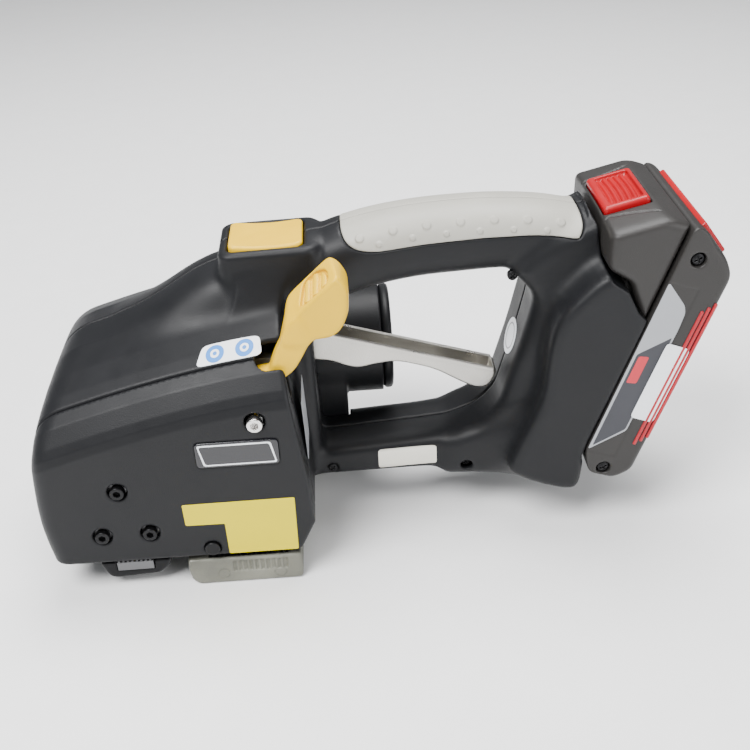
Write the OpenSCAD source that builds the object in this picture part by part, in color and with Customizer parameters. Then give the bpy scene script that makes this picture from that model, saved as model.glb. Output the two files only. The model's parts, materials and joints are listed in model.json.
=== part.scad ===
// Battery strapping tool: tensions, friction-welds and cuts plastic strap.
// +X runs from the head towards the battery, +Z is up, -Y is the side that the strap goes in from.
// The origin is under the middle of the tool, in the plane of the base plate's underside.

/* [Head] */
// Front of the head at its lowest bulge
head_front = -150.5; // [-156:0.5:-146]
// Underside of the head's plastic covers above the base plate's underside
head_floor = 16.5; // [15:0.5:18]
// Outer face of the side cover, and of the head's far wall, from the seam plane
head_half_width = 60; // [58:0.5:62]
// Distance of the side cover's seam from the seam plane
cover_seam = 46; // [44:0.5:48]
// Wall thickness of the plastic shells
wall = 2.6; // [2:0.1:3.2]

/* [Handle] */
// Half width of the handle
handle_half_width = 17.5; // [16:0.5:19]
// Front end of the soft grip
grip_front = -12; // [-14:0.5:-10]
// Rear end of the soft grip
grip_rear = 89; // [86:0.5:91]

/* [Strap track] */
// Top of the base plate where the strap lies
track_top = 14; // [13:0.5:14.5]
// Gap between the base plate and the parts above it
track_gap = 2; // [1.5:0.1:2.4]

/* [Tension drive] */
// Radius of the tension wheel over its teeth
wheel_radius = 21; // [19:0.5:21]
// Width of the tension wheel
wheel_width = 15; // [12:0.5:16]
// Module of the spur gears
gear_module = 1.5; // [1.5:0.1:1.6]
// Teeth on each spur gear
gear_teeth = 22; // [20:1:22]

/* [Motor] */
// Radius of the motor housing
motor_radius = 27; // [25:0.5:27]
// Sideways place of the motor's axis
motor_y = 36; // [34:0.5:36]
// Height of the motor's axis
motor_z = 69; // [66:0.5:70]

/* [Rocker lever] */
// Width of the pressed steel lever
lever_width = 13; // [12:0.5:14]
// Slope of the lever's flanges when it is let go
lever_slope = 17.7; // [16:0.1:19]
// Sheet thickness of the lever
lever_sheet = 1.5; // [1.2:0.1:2]

/* [Battery] */
// Width of the battery pack
pack_width = 76; // [74:0.5:76]
// Length of the battery pack along its slide
pack_length = 116; // [112:0.5:118]
// Depth of the pack's case behind the tool
pack_depth = 26; // [24:0.5:26]
// Lean of the pack away from upright
pack_lean = 19.2; // [18:0.1:20]

/* [Hidden] */
$fn = 48;

black = [0.09, 0.09, 0.1];
charcoal = [0.2, 0.2, 0.21];
grip_grey = [0.62, 0.61, 0.58];
yellow = [0.97, 0.75, 0.2];
red = [0.8, 0.08, 0.12];
cast_grey = [0.55, 0.56, 0.5];
steel = [0.7, 0.7, 0.7];
zinc = [0.8, 0.79, 0.74];
label_white = [0.92, 0.93, 0.94];
copper = [0.75, 0.45, 0.25];
board_green = [0.1, 0.35, 0.2];

gap = 0.3;
overrun = 200;

// Axis places (x, z) of the cross-wise shafts
wheel_axis = [-113.4, track_top + track_gap + wheel_radius];
pitch_radius = gear_module * gear_teeth / 2;
gear_rise = motor_z - wheel_axis[1];
cross_axis = [wheel_axis[0] + sqrt(4 * pitch_radius * pitch_radius - gear_rise * gear_rise), motor_z];
foot_axis = [-76.8, 21];
lever_axis = [-56, 99];
weld_axis = [-48, 96];
eccentric_y = -47;
eccentric_z = 40;

// Side outline of the head, nose to the left: x, height
head_side = [
  [-37.6, head_floor - 1], [-30.8, 33], [-32, 52], [-38.4, 112], [-38.4, 134], [-65, 134], [-85, 124.5],
  [-102, 114], [-120, 108.5], [-135.5, 103.5], [-139, 90], [-147.5, 76], [head_front, 50],
  [head_front, 36], [-145, head_floor - 1]
];
// Cross section of the head at its rear: distance from the seam plane, height
head_section = [
  [-head_half_width, 0], [head_half_width, 0], [head_half_width, 94], [57, 100.5], [52, 105.5], [cover_seam, 109],
  [30, 118.5], [16, 130], [0, 135.5], [-16, 130], [-30, 118.5], [-cover_seam, 109], [-52, 105.5],
  [-57, 100.5], [-head_half_width, 94]
];
// Fall of the head's shoulders towards the nose
shoulder_fall = 10.7;

// Handle stations: x, underside, top
handle = [[-76, 100, 122], [-59, 100, 140], [-19, 112, 144.5], [18, 122, 153], [60, 124, 153.8], [98, 112, 148.6]];
// Top of the handle's core under the soft grip
core_outline = [
  [grip_front - 1, 124], [18, 127], [60, 129], [grip_rear + 1, 124], [grip_rear + 1, 147.2], [60, 151.4],
  [40, 151.6], [18, 150.6], [grip_front - 1, 144]
];
core_half_width = 15;

// Side outline of the lower frame: x, height
frame_side = [
  [-46, 23.5], [44, 22.8], [70, 21.6], [80, 50], [62, 64], [56, 54], [51, 48], [44, 45], [28, 43.6],
  [0, 41.8], [-25, 40.2], [-46, 40]
];
frame_half_width = 18.5;

// Rear block seen from the side, in front of the battery's face: distance, place along the slide
rear_side = [
  [-39.5, -34], [0, -22], [0, 68.4], [-4.7, 73.2], [-13.3, 84.2], [-24.3, 86.8], [-31.3, 100],
  [-38.5, 76], [-39.5, 64]
];
// Rear block seen from the top of the slide: distance, half width
rear_plan = [[-42, 15], [-38.5, 18.5], [-30, 21], [-24, 26], [-18, 33], [-12.5, 37], [-8, 38], [0, 38]];

// Lower front corner of the battery's face against the tool
pack_corner = [93, 0, 42];

function sgn_pow(v, p) = sign(v) * pow(abs(v), p);
function oval(half_w, half_h, square, n) = [
  for (i = [0 : n - 1]) [
    half_w * sgn_pow(cos(360 * i / n), 2 / square),
    half_h * sgn_pow(sin(360 * i / n), 2 / square)
  ]
];

// An outline in the XZ plane, extruded along Y between two stations
module along_y(y0, y1) {
  translate([0, y1, 0]) rotate([90, 0, 0]) linear_extrude(y1 - y0) children();
}

// The whole head's volume, from its far wall to the side cover
module head_volume() {
  intersection() {
    along_y(-head_half_width, head_half_width) polygon(head_side);
    translate([-38, 0, 0]) rotate([0, -shoulder_fall, 0])
      translate([-140, 0, 0]) rotate([90, 0, 90]) linear_extrude(170) polygon(head_section);
  }
}

// One slice across the handle
module handle_slice(s) {
  mid = (s[1] + s[2]) / 2;
  half = (s[2] - s[1]) / 2;
  translate([s[0], 0, mid]) rotate([90, 0, 90])
    linear_extrude(0.02) polygon(oval(handle_half_width, half, 2.6, 20));
}

// The handle from one station to another
module handle_volume(first, last) {
  for (i = [first : last - 1]) hull() {
    handle_slice(handle[i]);
    handle_slice(handle[i + 1]);
  }
}

// Puts children drawn as (distance behind the pack's face, y, distance along the slide) in place
module on_pack() {
  translate(pack_corner) rotate([0, pack_lean, 0]) children();
}

module rear_volume() {
  mirrored = [for (i = [len(rear_plan) - 1 : -1 : 0]) [rear_plan[i][0], -rear_plan[i][1]]];
  on_pack() intersection() {
    along_y(-38, 38) polygon(rear_side);
    translate([0, 0, -50]) linear_extrude(200) polygon(concat(rear_plan, mirrored));
  }
}

module body_outside() {
  head_volume();
  difference() {
    handle_volume(0, 5);
    grip_zone();
  }
  along_y(-core_half_width, core_half_width) polygon(core_outline);
  along_y(-frame_half_width, frame_half_width) polygon(frame_side);
  rear_volume();
  // The wall between the head and the hand opening
  translate([-44, -17, 30]) cube([17.5, 34, 84]);
}

// Hollows of the shells, as plain rooms inside the skin
module body_inside() {
  // Head: a full-width room with a narrower one under the crown
  translate([0, head_half_width - wall, 0]) rotate([90, 0, 0])
    linear_extrude(2 * (head_half_width - wall))
      polygon([
        [-40.5, -5], [-35, 30], [-36, 52], [-40, 88], [-100, 78], [-136, 66], [-144, 56],
        [-147, 48], [-147, 37], [-142, -5]
      ]);
  translate([0, 41, 0]) rotate([90, 0, 0])
    linear_extrude(82)
      polygon([[-41, 60], [-41.5, 105], [-66, 104], [-104, 98.5], [-133, 90], [-140, 74], [-137, 60]]);
  translate([0, 24, 0]) rotate([90, 0, 0])
    linear_extrude(48) polygon([[-41, 90], [-41, 114], [-84, 110], [-120, 100], [-120, 90]]);
  // Handle
  translate([0, 11, 0]) rotate([90, 0, 0])
    linear_extrude(22)
      polygon([
        [-78, 104], [-30, 112], [0, 125.5], [60, 129], [88, 126], [88, 143.5], [40, 147.5],
        [0, 144], [-24, 136.5], [-58, 134], [-78, 112]
      ]);
  // Lower frame and the wall above it
  translate([-43, -15, 26.3]) cube([105, 30, 11.1]);
  translate([-43, -14, 36]) cube([13.9, 28, 75]);
  // Rear block
  on_pack() {
    translate([-36.5, -12.5, -29]) cube([16.5, 25, 95]);
    translate([-22, -29, -19]) cube([7, 58, 87]);
  }
}

// Where the soft grip lies on the handle
module grip_zone() {
  translate([grip_front, -25, 0])
    rotate([-90, 0, 0])
      linear_extrude(50)
        polygon([
          [0, -170], [0, -146], [4, -141.5], [12, -139.6], [60, -142.6],
          [grip_rear - grip_front, -140.5], [grip_rear - grip_front + 3, -146], [grip_rear - grip_front - 4, -170]
        ]);
}

module battery_bay() {
  on_pack() {
    translate([-13.5, -28, -9]) cube([30, 56, 139]);
    translate([0, -45, -13.5]) cube([40, 90, 153]);
    translate([-31.3, -37, 87]) cube([40, 74, 60]);
    translate([-23, -37, 84.8]) cube([30, 74, 20]);
    // Window for the terminal block
    translate([-16, -20.2, -2.2]) cube([4, 40.4, 26.4]);
  }
}

// Slot beside the handle that the weld lever swings in
module weld_slot() {
  translate([-49.6, -51, 86]) cube([27.6, 12.5, 60]);
  rod_y(weld_axis, 7.5, -51, -38.5);
}

module body_cutouts() {
  // Rocker lever's way through the front column
  translate([-60, -9, 66]) cube([50, 18, 44]);
  weld_slot();
  // Tension button's well
  translate([-59.4, -14, 120]) cube([32.8, 28, 60]);
  // Open underside of the head
  translate([-170, -70, -10]) cube([132, 140, 10 + head_floor]);
  // Motor's way through the head's rear wall
  translate([-60, motor_y, motor_z]) rotate([0, 90, 0]) cylinder(r = motor_radius + 0.2, h = 90);
  translate([-31, motor_y - 26.5, 33.5]) cube([20, 27, 30]);
  battery_bay();
}

module shell_half(side) {
  intersection() {
    difference() {
      union() body_outside();
      union() body_inside();
      union() body_cutouts();
    }
    translate([-overrun, side > 0 ? 0.05 : -cover_seam, -20])
      cube([2 * overrun, side > 0 ? 80 : cover_seam - 0.05, 240]);
  }
}

module shell_near() {
  color(black) difference() {
    shell_half(-1);
    for (i = [0 : 2]) {
      rod_y(shell_screw_places[i], 2.25, -40, shell_screw_heads[i] + 2.45);
      rod_y(shell_screw_places[i], 1.26, -40, -3.9);
    }
  }
}

module shell_far() {
  color(black) shell_half(1);
}

// Rows of raised beads on the grip: first place, count, angle round the handle, radius, tilt of the bead
bead_rows = [[-3, 7, 40, 1.6, 42], [5, 6, 22, 1.1, 20]];
bead_step = 14.2;
bead_rise = 0.6;
bead_root = 0.65;
handle_mid = [for (s = handle) [s[0], (s[1] + s[2]) / 2]];
handle_half = [for (s = handle) [s[0], (s[2] - s[1]) / 2]];

module grip_beads(side) {
  for (row = bead_rows) for (i = [0 : row[1] - 1]) {
    x = row[0] + i * bead_step;
    translate([
      x, side * handle_half_width * sgn_pow(cos(row[2]), 2 / 2.6),
      lookup(x, handle_mid) + lookup(x, handle_half) * sgn_pow(sin(row[2]), 2 / 2.6)
    ])
      rotate([side * (row[4] - 90), 0, 0]) translate([0, 0, -bead_root])
        cylinder(r = row[3], h = bead_root + bead_rise, $fn = 24);
  }
}

module grip_half(side) {
  difference() {
    union() {
      intersection() {
        handle_volume(2, 5);
        grip_zone();
        translate([-overrun, side > 0 ? 0.05 : -40.05, 0]) cube([2 * overrun, 40, 200]);
      }
      grip_beads(side);
    }
    along_y(-core_half_width - 0.05, core_half_width + 0.05)
      offset(delta = 0.05) polygon(core_outline);
  }
}

module grip_near() {
  color(grip_grey) grip_half(-1);
}

module grip_far() {
  color(grip_grey) grip_half(1);
}

// A box with its four edges along Y rounded
module rounded_plate(x0, x1, z0, z1, y0, y1, r) {
  translate([0, y1, 0]) rotate([90, 0, 0])
    linear_extrude(y1 - y0)
      translate([x0 + r, z0 + r]) offset(r = r, $fn = 24) square([x1 - x0 - 2 * r, z1 - z0 - 2 * r]);
}

// A cylinder along Y or X between two stations
module rod_y(at, r, y0, y1) {
  translate([at[0], y0, at[1]]) rotate([-90, 0, 0]) cylinder(r = r, h = y1 - y0);
}

module rod_x(y, z, r, x0, x1) {
  translate([x0, y, z]) rotate([0, 90, 0]) cylinder(r = r, h = x1 - x0);
}

cover_screw_places = [[-113.4, 55.3], [-123.8, 31.6], [-102.9, 31.9]];
adjuster_place = [-51.4, 86.7];
plate_box = [-78, -42.6, 65.2, 78.2];

module side_cover() {
  color(black) difference() {
    intersection() {
      head_volume();
      translate([-overrun, -overrun - cover_seam - 0.2, -20]) cube([2 * overrun, overrun, 240]);
    }
    // Hollow behind the face
    along_y(-head_half_width + wall, -40) polygon([
      [-40.5, 10], [-35, 30], [-36, 52], [-40, 92], [-100, 84], [-134, 72], [-144, 62], [-147, 48],
      [-147, 37], [-142, 10]
    ]);
    // Bolt, pin, adjuster and nameplate places
    for (p = cover_screw_places) rod_y(p, 4.2, -70, -50);
    rod_y(adjuster_place, 4.2, -70, -50);
    rod_y(foot_axis, 3.7, -70, -50);
    translate([plate_box[0], -61, plate_box[2]])
      cube([plate_box[1] - plate_box[0], 2, plate_box[3] - plate_box[2]]);
    weld_slot();
    rod_y(weld_axis, 3.1, -56.8, -40);
    translate([-170, -70, -10]) cube([150, 40, 10 + head_floor]);
  }
}

module nameplate() {
  color(black) rounded_plate(
    plate_box[0] + gap, plate_box[1] - gap, plate_box[2] + gap, plate_box[3] - gap, -60.2, -59, 2);
}

// A socket head cap screw along Y with its head towards -Y
module cap_screw(at, head_r, head_y, tip_y) {
  difference() {
    union() {
      rod_y(at, head_r, head_y, head_y + head_r * 1.1);
      rod_y(at, head_r * 0.55, head_y + head_r, tip_y);
    }
    translate([at[0], head_y - 1, at[1]]) rotate([-90, 0, 0]) cylinder(r = head_r * 0.5, h = 3, $fn = 6);
  }
}

module cover_screws() {
  color(black) for (p = cover_screw_places) cap_screw(p, 3.1, -61.5, -57);
}

module adjuster_screw() {
  color(steel) cap_screw(adjuster_place, 3.3, -63, -48);
}

module caution_label() {
  color("gold") translate([0, -60.02, 0]) rotate([90, 0, 0]) linear_extrude(0.2)
    polygon([[-87, 34.8], [-69.9, 34.6], [-69.7, 17.3], [-38.9, 17.3], [-38.4, 46.4], [-87.2, 46.2]]);
}

// Blank label laid on the head's slope above the side cover's seam
module pictogram_label() {
  color(label_white) translate([-38, 0, 0]) rotate([0, -shoulder_fall, 0])
    translate([-22, -38, 113.8]) rotate([30.7, 0, 0])
      linear_extrude(0.3) polygon([[-14, -4], [13, -4], [13, 3], [10, 5], [-8, 5], [-13.5, 2]]);
}

shell_screw_places = [[-22, 29.2], [41.5, 28.4], [62, 125]];
shell_screw_heads = [-18.6, -18.6, -16.5];

module shell_screws() {
  color(black) {
    for (i = [0 : 2]) cap_screw(shell_screw_places[i], 2.2, shell_screw_heads[i], -4);
  }
}

module frame_label() {
  color(steel) translate([0, -18.75, 0]) rotate([90, 0, 0]) linear_extrude(0.3)
    polygon([[0, 27.5], [27.5, 28.5], [27.5, 39], [0, 38]]);
}

module column_seal() {
  color(label_white) on_pack() translate([-39.85, -9, 26]) rotate([0, 90, 0]) cylinder(r = 6, h = 0.3);
}

module rear_sticker() {
  color(label_white) translate([-31.6, -46, 56]) rotate([0, -1.5, 0]) cube([0.3, 22, 30]);
}

// Cast frame inside the head that carries every shaft
module gear_housing() {
  color(cast_grey) difference() {
    union() {
      // Near and far walls, floor and front wall
      translate([-132, -36, 18]) cube([86, 5, 62]);
      translate([-132, 10, 18]) cube([50, 5, 64]);
      translate([-132, -36, 18]) cube([86, 80, 4]);
      translate([-135.5, -36, 18]) cube([3.7, 51, 62]);
      // Rear cross wall, lever bearings and motor walls
      translate([-50, -31, 22]) cube([4, 75, 20]);
      translate([-66, -36, 76]) cube([24.5, 5, 27]);
      translate([-66, 10, 76]) cube([20, 5, 27]);
      translate([-66, 10, 22]) cube([4, 5, 56]);
      translate([-50, 15, 42]) cube([4, 41, 43]);
      translate([-66, 15, 44]) cube([3, 41, 39]);
      translate([-84, 10, 22]) cube([38, 34, 3]);
    }
    // Slot for the tension gear, and the base screws' holes and head seats
    translate([-130, -13, 10]) cube([29, 10, 18]);
    for (x = base_screw_x) for (y = base_screw_y) {
      translate([x, y, 10]) cylinder(r = 2.05, h = 20);
      translate([x, y, 22]) cylinder(r = 3.6, h = 4);
    }
    rod_y(wheel_axis, 8, -40, 20);
    rod_y(cross_axis, 8, -40, 20);
    rod_y(foot_axis, 3, -60, 60);
    rod_y(lever_axis, 3, -60, 60);
    rod_x(motor_y, motor_z, 9, -60, -40);
    rod_x(motor_y, motor_z, 12, -70, -60);
    rod_y(weld_axis, 3.05, -60, -20);
    // Room for the foot's arm
    translate([-100, -30, 10]) cube([37, 24, 20]);
    // Way for the drive belt and its pulley
    translate([-62.5, -60, 23]) cube([12, 100, 52]);
    // Saddle for the foot's pin, open below
    translate([foot_axis[0] - 2.4, -60, 0]) cube([4.8, 120, foot_axis[1]]);
  }
}

base_screw_x = [-84, -46];
base_screw_y = [0, 36];

module base_plate() {
  color(cast_grey) difference() {
    union() {
      rounded_plate(-89, -38, 0, track_top, -60, 44, 1);
      translate([-89, -35.8, track_top - 1]) cube([51, 79.8, 5 - gap]);
    }
    // Room for the foot's arm
    translate([-95, -30, 2.5]) cube([32, 24, 30]);
    // Window for the lower weld plate
    translate([-80, -58, 8]) cube([36, 20, 20]);
    // Bevelled front corner and underside recess
    translate([-89, -61, 0]) rotate([0, 0, 45]) translate([-6, -6, -1]) cube([12, 12, 30]);
    translate([-70, -61, 3]) cube([26, 1.5, 6]);
    for (x = base_screw_x) for (y = base_screw_y) translate([x, y, -1]) cylinder(r = 2.1, h = 30);
    rod_y(foot_axis, 3.6, -70, 60);
  }
}

module lower_weld_plate() {
  teeth = 14;
  pitch = 34 / teeth;
  color(steel) {
    translate([-79.7, -57.7, 8]) cube([35.4, 19.4, 5]);
    for (i = [0 : teeth - 1])
      translate([-79 + i * pitch, -57.7, 13]) rotate([-90, 0, 0])
        linear_extrude(19.4) polygon([[0, 0.2], [pitch * 0.9, 0.2], [pitch / 2, -0.8]]);
  }
}

module base_screws() {
  color(steel) for (x = base_screw_x) for (y = base_screw_y) {
    translate([x, y, 0.6]) cylinder(r = 2, h = 20.4);
    translate([x, y, 22]) cylinder(r = 3.4, h = 2.6);
    translate([x, y, 18]) cylinder(r = 2, h = 4.2);
  }
}

// Sprung foot that presses the strap up against the tension wheel
module foot_arm() {
  color(black) difference() {
    union() {
      hull() {
        translate([-125.5, -57, 4.6]) cube([24, 20, 9.4]);
        translate([-129, -56, 11]) cube([33, 18, 3]);
      }
      translate([-110, -40, 6]) cube([18, 32, 8]);
      hull() {
        rod_y([-95, 10], 4, -28, -8, $fn = 32);
        rod_y(foot_axis, 5.5, -28, -8, $fn = 32);
      }
      rod_y(foot_axis, 6.2, -28, -8);
    }
    rod_y(foot_axis, 3.05, -70, 60);
    translate([-121.5, -58, 9]) cube([17, 17.5, 8]);
  }
}

module foot_insert() {
  color(steel) {
    translate([-121.2, -57.4, 9.1]) cube([16.4, 16.4, 4.9]);
    for (i = [0 : 7]) translate([-120.7 + 2 * i, -57.2, 14]) cube([1, 16, 0.5]);
  }
}

// The foot's pin, and the plug that closes the side cover over its end
module foot_pin() {
  color(black) {
    rod_y(foot_axis, 3, -36.5, 17);
    rod_y(foot_axis, 3.66, -61.2, -57.6);
  }
}

// Return spring between the foot's bridge and the housing floor
module foot_spring() {
  at = [-105, -22, 14.8];
  coils = 3;
  pitch = 1.15;
  color(steel) {
    for (i = [0 : coils - 1])
      translate([at[0], at[1], at[2] + i * pitch]) rotate_extrude()
        translate([4, 0]) circle(r = 0.45, $fn = 16);
    translate([at[0] + 3.7, at[1] - 0.3, at[2] - 0.2]) cube([0.6, 0.6, (coils - 1) * pitch + 0.4]);
  }
}

module tension_wheel() {
  knurls = 40;
  color(steel) difference() {
    rod_y(wheel_axis, wheel_radius, -56, -56 + wheel_width);
    rod_y(wheel_axis, 5, -60, -30);
    for (i = [0 : knurls - 1])
      translate([wheel_axis[0], -57, wheel_axis[1]]) rotate([0, i * 360 / knurls, 0])
        translate([wheel_radius - 0.7, 0, -0.5]) cube([2, wheel_width + 2, 1]);
  }
}

module tension_shaft() {
  color(steel) {
    rod_y(wheel_axis, 5, -57.1, -39);
    rod_y(wheel_axis, 4, -39, 18);
  }
}

// Outline of one spur gear, centred on the origin, with its first tooth at turn
module gear_outline(turn) {
  tip = pitch_radius + gear_module * 0.92;
  root = pitch_radius - gear_module * 1.2;
  step = 360 / gear_teeth;
  polygon([
    for (i = [0 : gear_teeth - 1]) for (c = [
      [-0.5, root], [-0.31, root], [-0.215, pitch_radius], [-0.1, tip],
      [0.1, tip], [0.215, pitch_radius], [0.31, root]
    ]) c[1] * [cos((i + c[0]) * step + turn), sin((i + c[0]) * step + turn)]
  ]);
}

module spur_gear(at, turn) {
  translate([at[0], -4, at[1]]) rotate([90, 0, 0])
    linear_extrude(8) difference() {
      gear_outline(turn);
      circle(r = 4);
    }
}

// Direction from the tension shaft to the cross shaft, and the two gears' turns that mesh along it
mesh_angle = atan2(cross_axis[1] - wheel_axis[1], cross_axis[0] - wheel_axis[0]);

module tension_gear() {
  color(steel) spur_gear(wheel_axis, mesh_angle);
}

module cross_gear() {
  color(steel) spur_gear(cross_axis, mesh_angle + 180 + 180 / gear_teeth);
}

bevel_large = 15;
bevel_small = 7.5;

module cross_shaft() {
  color(steel) {
    rod_y(cross_axis, 4, -38, 27);
  }
}

// Large bevel gear on the cross shaft, its cone facing the pinion
module bevel_gear() {
  color(steel) translate([cross_axis[0], motor_y - bevel_small, cross_axis[1]]) rotate([90, 0, 0]) {
    difference() {
      union() {
        cylinder(r1 = bevel_large - 1, r2 = bevel_large - 0.5, h = 0.5);
        translate([0, 0, 0.5]) cylinder(r = bevel_large - 0.5, h = 4);
      }
      translate([0, 0, -1]) cylinder(r = 4, h = 10);
    }
  }
}

// Bevel pinion on the planet drum's output
module bevel_pinion() {
  x0 = cross_axis[0] + bevel_large;
  color(steel) {
    rod_x(motor_y, motor_z, bevel_small - 0.6, x0 + 0.6, x0 + 5);
    rod_x(motor_y, motor_z, 4, x0 + 5, -72.4);
  }
}

// Sealed planetary reduction between the motor and the bevel pinion
module planet_drum() {
  color(steel) difference() {
    rod_x(motor_y, motor_z, 12.5, -84, -66);
    rod_x(motor_y, motor_z, 10.5, -82, -63);
    rod_x(motor_y, motor_z, 4.05, -90, -60);
  }
}

// A ball bearing along Y, as one closed ring
module bearing_y(at, inner, outer, y0, y1) {
  difference() {
    rod_y(at, outer, y0, y1);
    rod_y(at, inner, y0 - 1, y1 + 1);
  }
}

module shaft_bearings() {
  color(steel) {
    for (at = [wheel_axis, cross_axis]) {
      bearing_y(at, 4.05, 7.98, -36, -31);
      bearing_y(at, 4.05, 7.98, 10, 15);
    }
    for (x = [-80, -66]) difference() {
      rod_x(eccentric_y, eccentric_z, 8, x, x + 4);
      rod_x(eccentric_y, eccentric_z, 4.05, x - 1, x + 5);
      translate([x - 1, eccentric_y - 10, eccentric_z - 20]) cube([6, 20, 13]);
    }
    for (x = [-80, -66]) translate([x, eccentric_y + 7, eccentric_z - 3]) cube([4, 4, 6]);
  }
}

module motor_housing() {
  color(black) difference() {
    union() {
      rod_x(motor_y, motor_z, motor_radius, -41.5, 5.5);
      translate([-29.5, motor_y - 26, 34]) cube([17, 26, 36]);
    }
    rod_x(motor_y, motor_z, motor_radius - wall, -60, 20);
  }
}

module motor_cap() {
  color(black) difference() {
    union() {
      rod_x(motor_y, motor_z, motor_radius - 0.8, 5.6, 10.5);
      rod_x(motor_y, motor_z, motor_radius - wall - 0.1, 2, 5.6);
    }
    rod_x(motor_y, motor_z, 8.2, 0, 7);
    rod_x(motor_y, motor_z, 20, 1, 4.6);
    for (i = [0 : 9]) translate([0, motor_y, motor_z]) rotate([i * 36, 0, 0])
      translate([0, 13, -1.2]) cube([20, 8, 2.4]);
  }
}

module motor_stator() {
  color(steel) difference() {
    rod_x(motor_y, motor_z, 22, -46, 1.5);
    rod_x(motor_y, motor_z, 13.5, -45, 5);
    rod_x(motor_y, motor_z, 4, -50, -40);
  }
}

module motor_rotor() {
  color(copper) {
    rod_x(motor_y, motor_z, 12.8, -40, -2);
    rod_x(motor_y, motor_z, 3, -70, 5.4);
  }
}

module motor_bearings() {
  color(steel) {
    for (x = [-49.5, 1.6]) difference() {
      rod_x(motor_y, motor_z, x < 0 ? 8.98 : 8.1, x, x + 3.4);
      rod_x(motor_y, motor_z, 3.05, x - 1, x + 5);
    }
  }
}

belt_x = [-61, -56];
pulley_large = 9;
pulley_small = 7;

module motor_pulley() {
  color(steel) difference() {
    rod_x(motor_y, motor_z, pulley_large, belt_x[0] - 0.5, belt_x[1] + 0.5);
    rod_x(motor_y, motor_z, 3, -90, -20);
  }
}

module eccentric_pulley() {
  color(steel) difference() {
    rod_x(eccentric_y, eccentric_z, pulley_small, belt_x[0] - 0.5, belt_x[1] + 0.5);
    rod_x(eccentric_y, eccentric_z, 4, -90, -20);
  }
}

module belt_loop(extra) {
  hull() {
    translate([motor_y, motor_z]) circle(r = pulley_large + extra);
    translate([eccentric_y, eccentric_z]) circle(r = pulley_small + extra);
  }
}

module drive_belt() {
  color(black) translate([belt_x[0], 0, 0]) rotate([90, 0, 90]) linear_extrude(belt_x[1] - belt_x[0])
    difference() {
      belt_loop(1.7);
      belt_loop(0.15);
    }
}

module eccentric_shaft() {
  color(steel) {
    rod_x(eccentric_y, eccentric_z, 4, -82, -54);
    rod_x(eccentric_y - 0.8, eccentric_z, 5.2, -75.5, -66.5);
  }
}

// Upper weld plate and the yoke that the eccentric shakes
module weld_shoe() {
  teeth = 12;
  color(steel) {
    difference() {
      translate([-75.2, -56, 22]) cube([8.4, 18, 28.8]);
      translate([-80, -53.5, 32]) cube([20, 13, 16.6]);
    }
    translate([-78, -56.5, 16.6]) cube([26, 18.5, 5.4]);
    for (i = [0 : teeth - 1]) translate([-77.5 + i * 2.1, -56.2, 16.1]) cube([1.2, 18, 0.6]);
  }
}

module cutter() {
  color(steel) {
    translate([-51.5, -56.5, 16.4]) cube([3, 18.5, 14]);
  }
}

// Lever that starts the weld, pushed down by the thumb
module weld_lever() {
  color(yellow) difference() {
    weld_lever_solid();
    rod_y(weld_axis, 3.02, -60, -30);
  }
}

module weld_lever_solid() {
  union() {
    hull() {
      rod_y(weld_axis, 7, -49.5, -40.5, $fn = 32);
      translate([-36, -49.5, 104]) cube([5, 9, 7]);
    }
    hull() {
      translate([-36, -49.5, 104]) cube([5, 9, 7]);
      translate([-29, -50, 120]) rotate([0, -30, 0]) cube([9, 14, 8]);
    }
    hull() {
      translate([-27, -49, 121]) rotate([0, -30, 0]) cube([16, 24, 9]);
      translate([-24, -47, 129]) rotate([0, -30, 0]) cube([12, 20, 7]);
    }
  }
}

module weld_shaft() {
  color(steel) rod_y(weld_axis, 3, -56.5, -31);
}

// Pressed steel trough, drawn along +X from its pivot and then sloped
lever_side = [
  [-8, -6], [-8, 5], [-3, 8], [116, 8], [117.5, 6], [116.5, -1.5], [112, -4], [106, -3.6], [88, 1.5],
  [70, 1.2], [60, -3], [54, -6.5], [48, -6.5], [40, -5.5], [22, -9], [6, -9]
];

module lever_blank(half) {
  rotate([90, 0, 0]) linear_extrude(2 * half, center = true) polygon(lever_side);
}

module rocker_lever() {
  color(zinc) translate([lever_axis[0], 0, lever_axis[1]]) rotate([0, lever_slope, 0]) {
    difference() {
      lever_blank(lever_width / 2);
      difference() {
        translate([-20, -lever_width / 2 + lever_sheet, -20])
          cube([20 + 116, lever_width - 2 * lever_sheet, 40]);
        // Web along the trough's floor
        difference() {
          lever_blank(lever_width);
          translate([0, 0, lever_sheet]) lever_blank(lever_width + 1);
        }
      }
      rotate([90, 0, 0]) cylinder(r = 3.05, h = 40, center = true);
    }
  }
}

module lever_pin() {
  color(steel) rod_y(lever_axis, 3, -36.5, 15.5);
}

module tension_button() {
  color(yellow) difference() {
    union() {
      rounded_plate(-58.9, -27.1, 130, 145.4, -13.5, 13.5, 3);
      translate([-50, -7, 126]) cube([18, 14, 5]);
    }
    translate([-43, 0, 145.4 + 78]) rotate([90, 0, 0]) cylinder(r = 79, h = 60, center = true);
  }
}

module button_switch() {
  color(black) {
    translate([-50, -5, 112]) cube([20, 10, 10]);
    translate([-43, -2, 122]) cube([6, 4, 1.2]);
  }
}

module control_board() {
  color(board_green) translate([-18, -14, 30.8]) cube([66, 28, 1.6]);
  color(black) for (x = [-10, 8, 26]) translate([x, -5, 32.4]) cube([8, 10, 4]);
}

module terminal_block() {
  color(black) on_pack() translate([-22, -20, -2]) cube([7.5, 40, 26]);
  color(copper) on_pack() for (y = blade_y) translate([-14.5, y - 0.4, 1.5]) cube([5.5, 0.8, 11]);
}

blade_y = [-12, -4, 4, 12];
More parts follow.
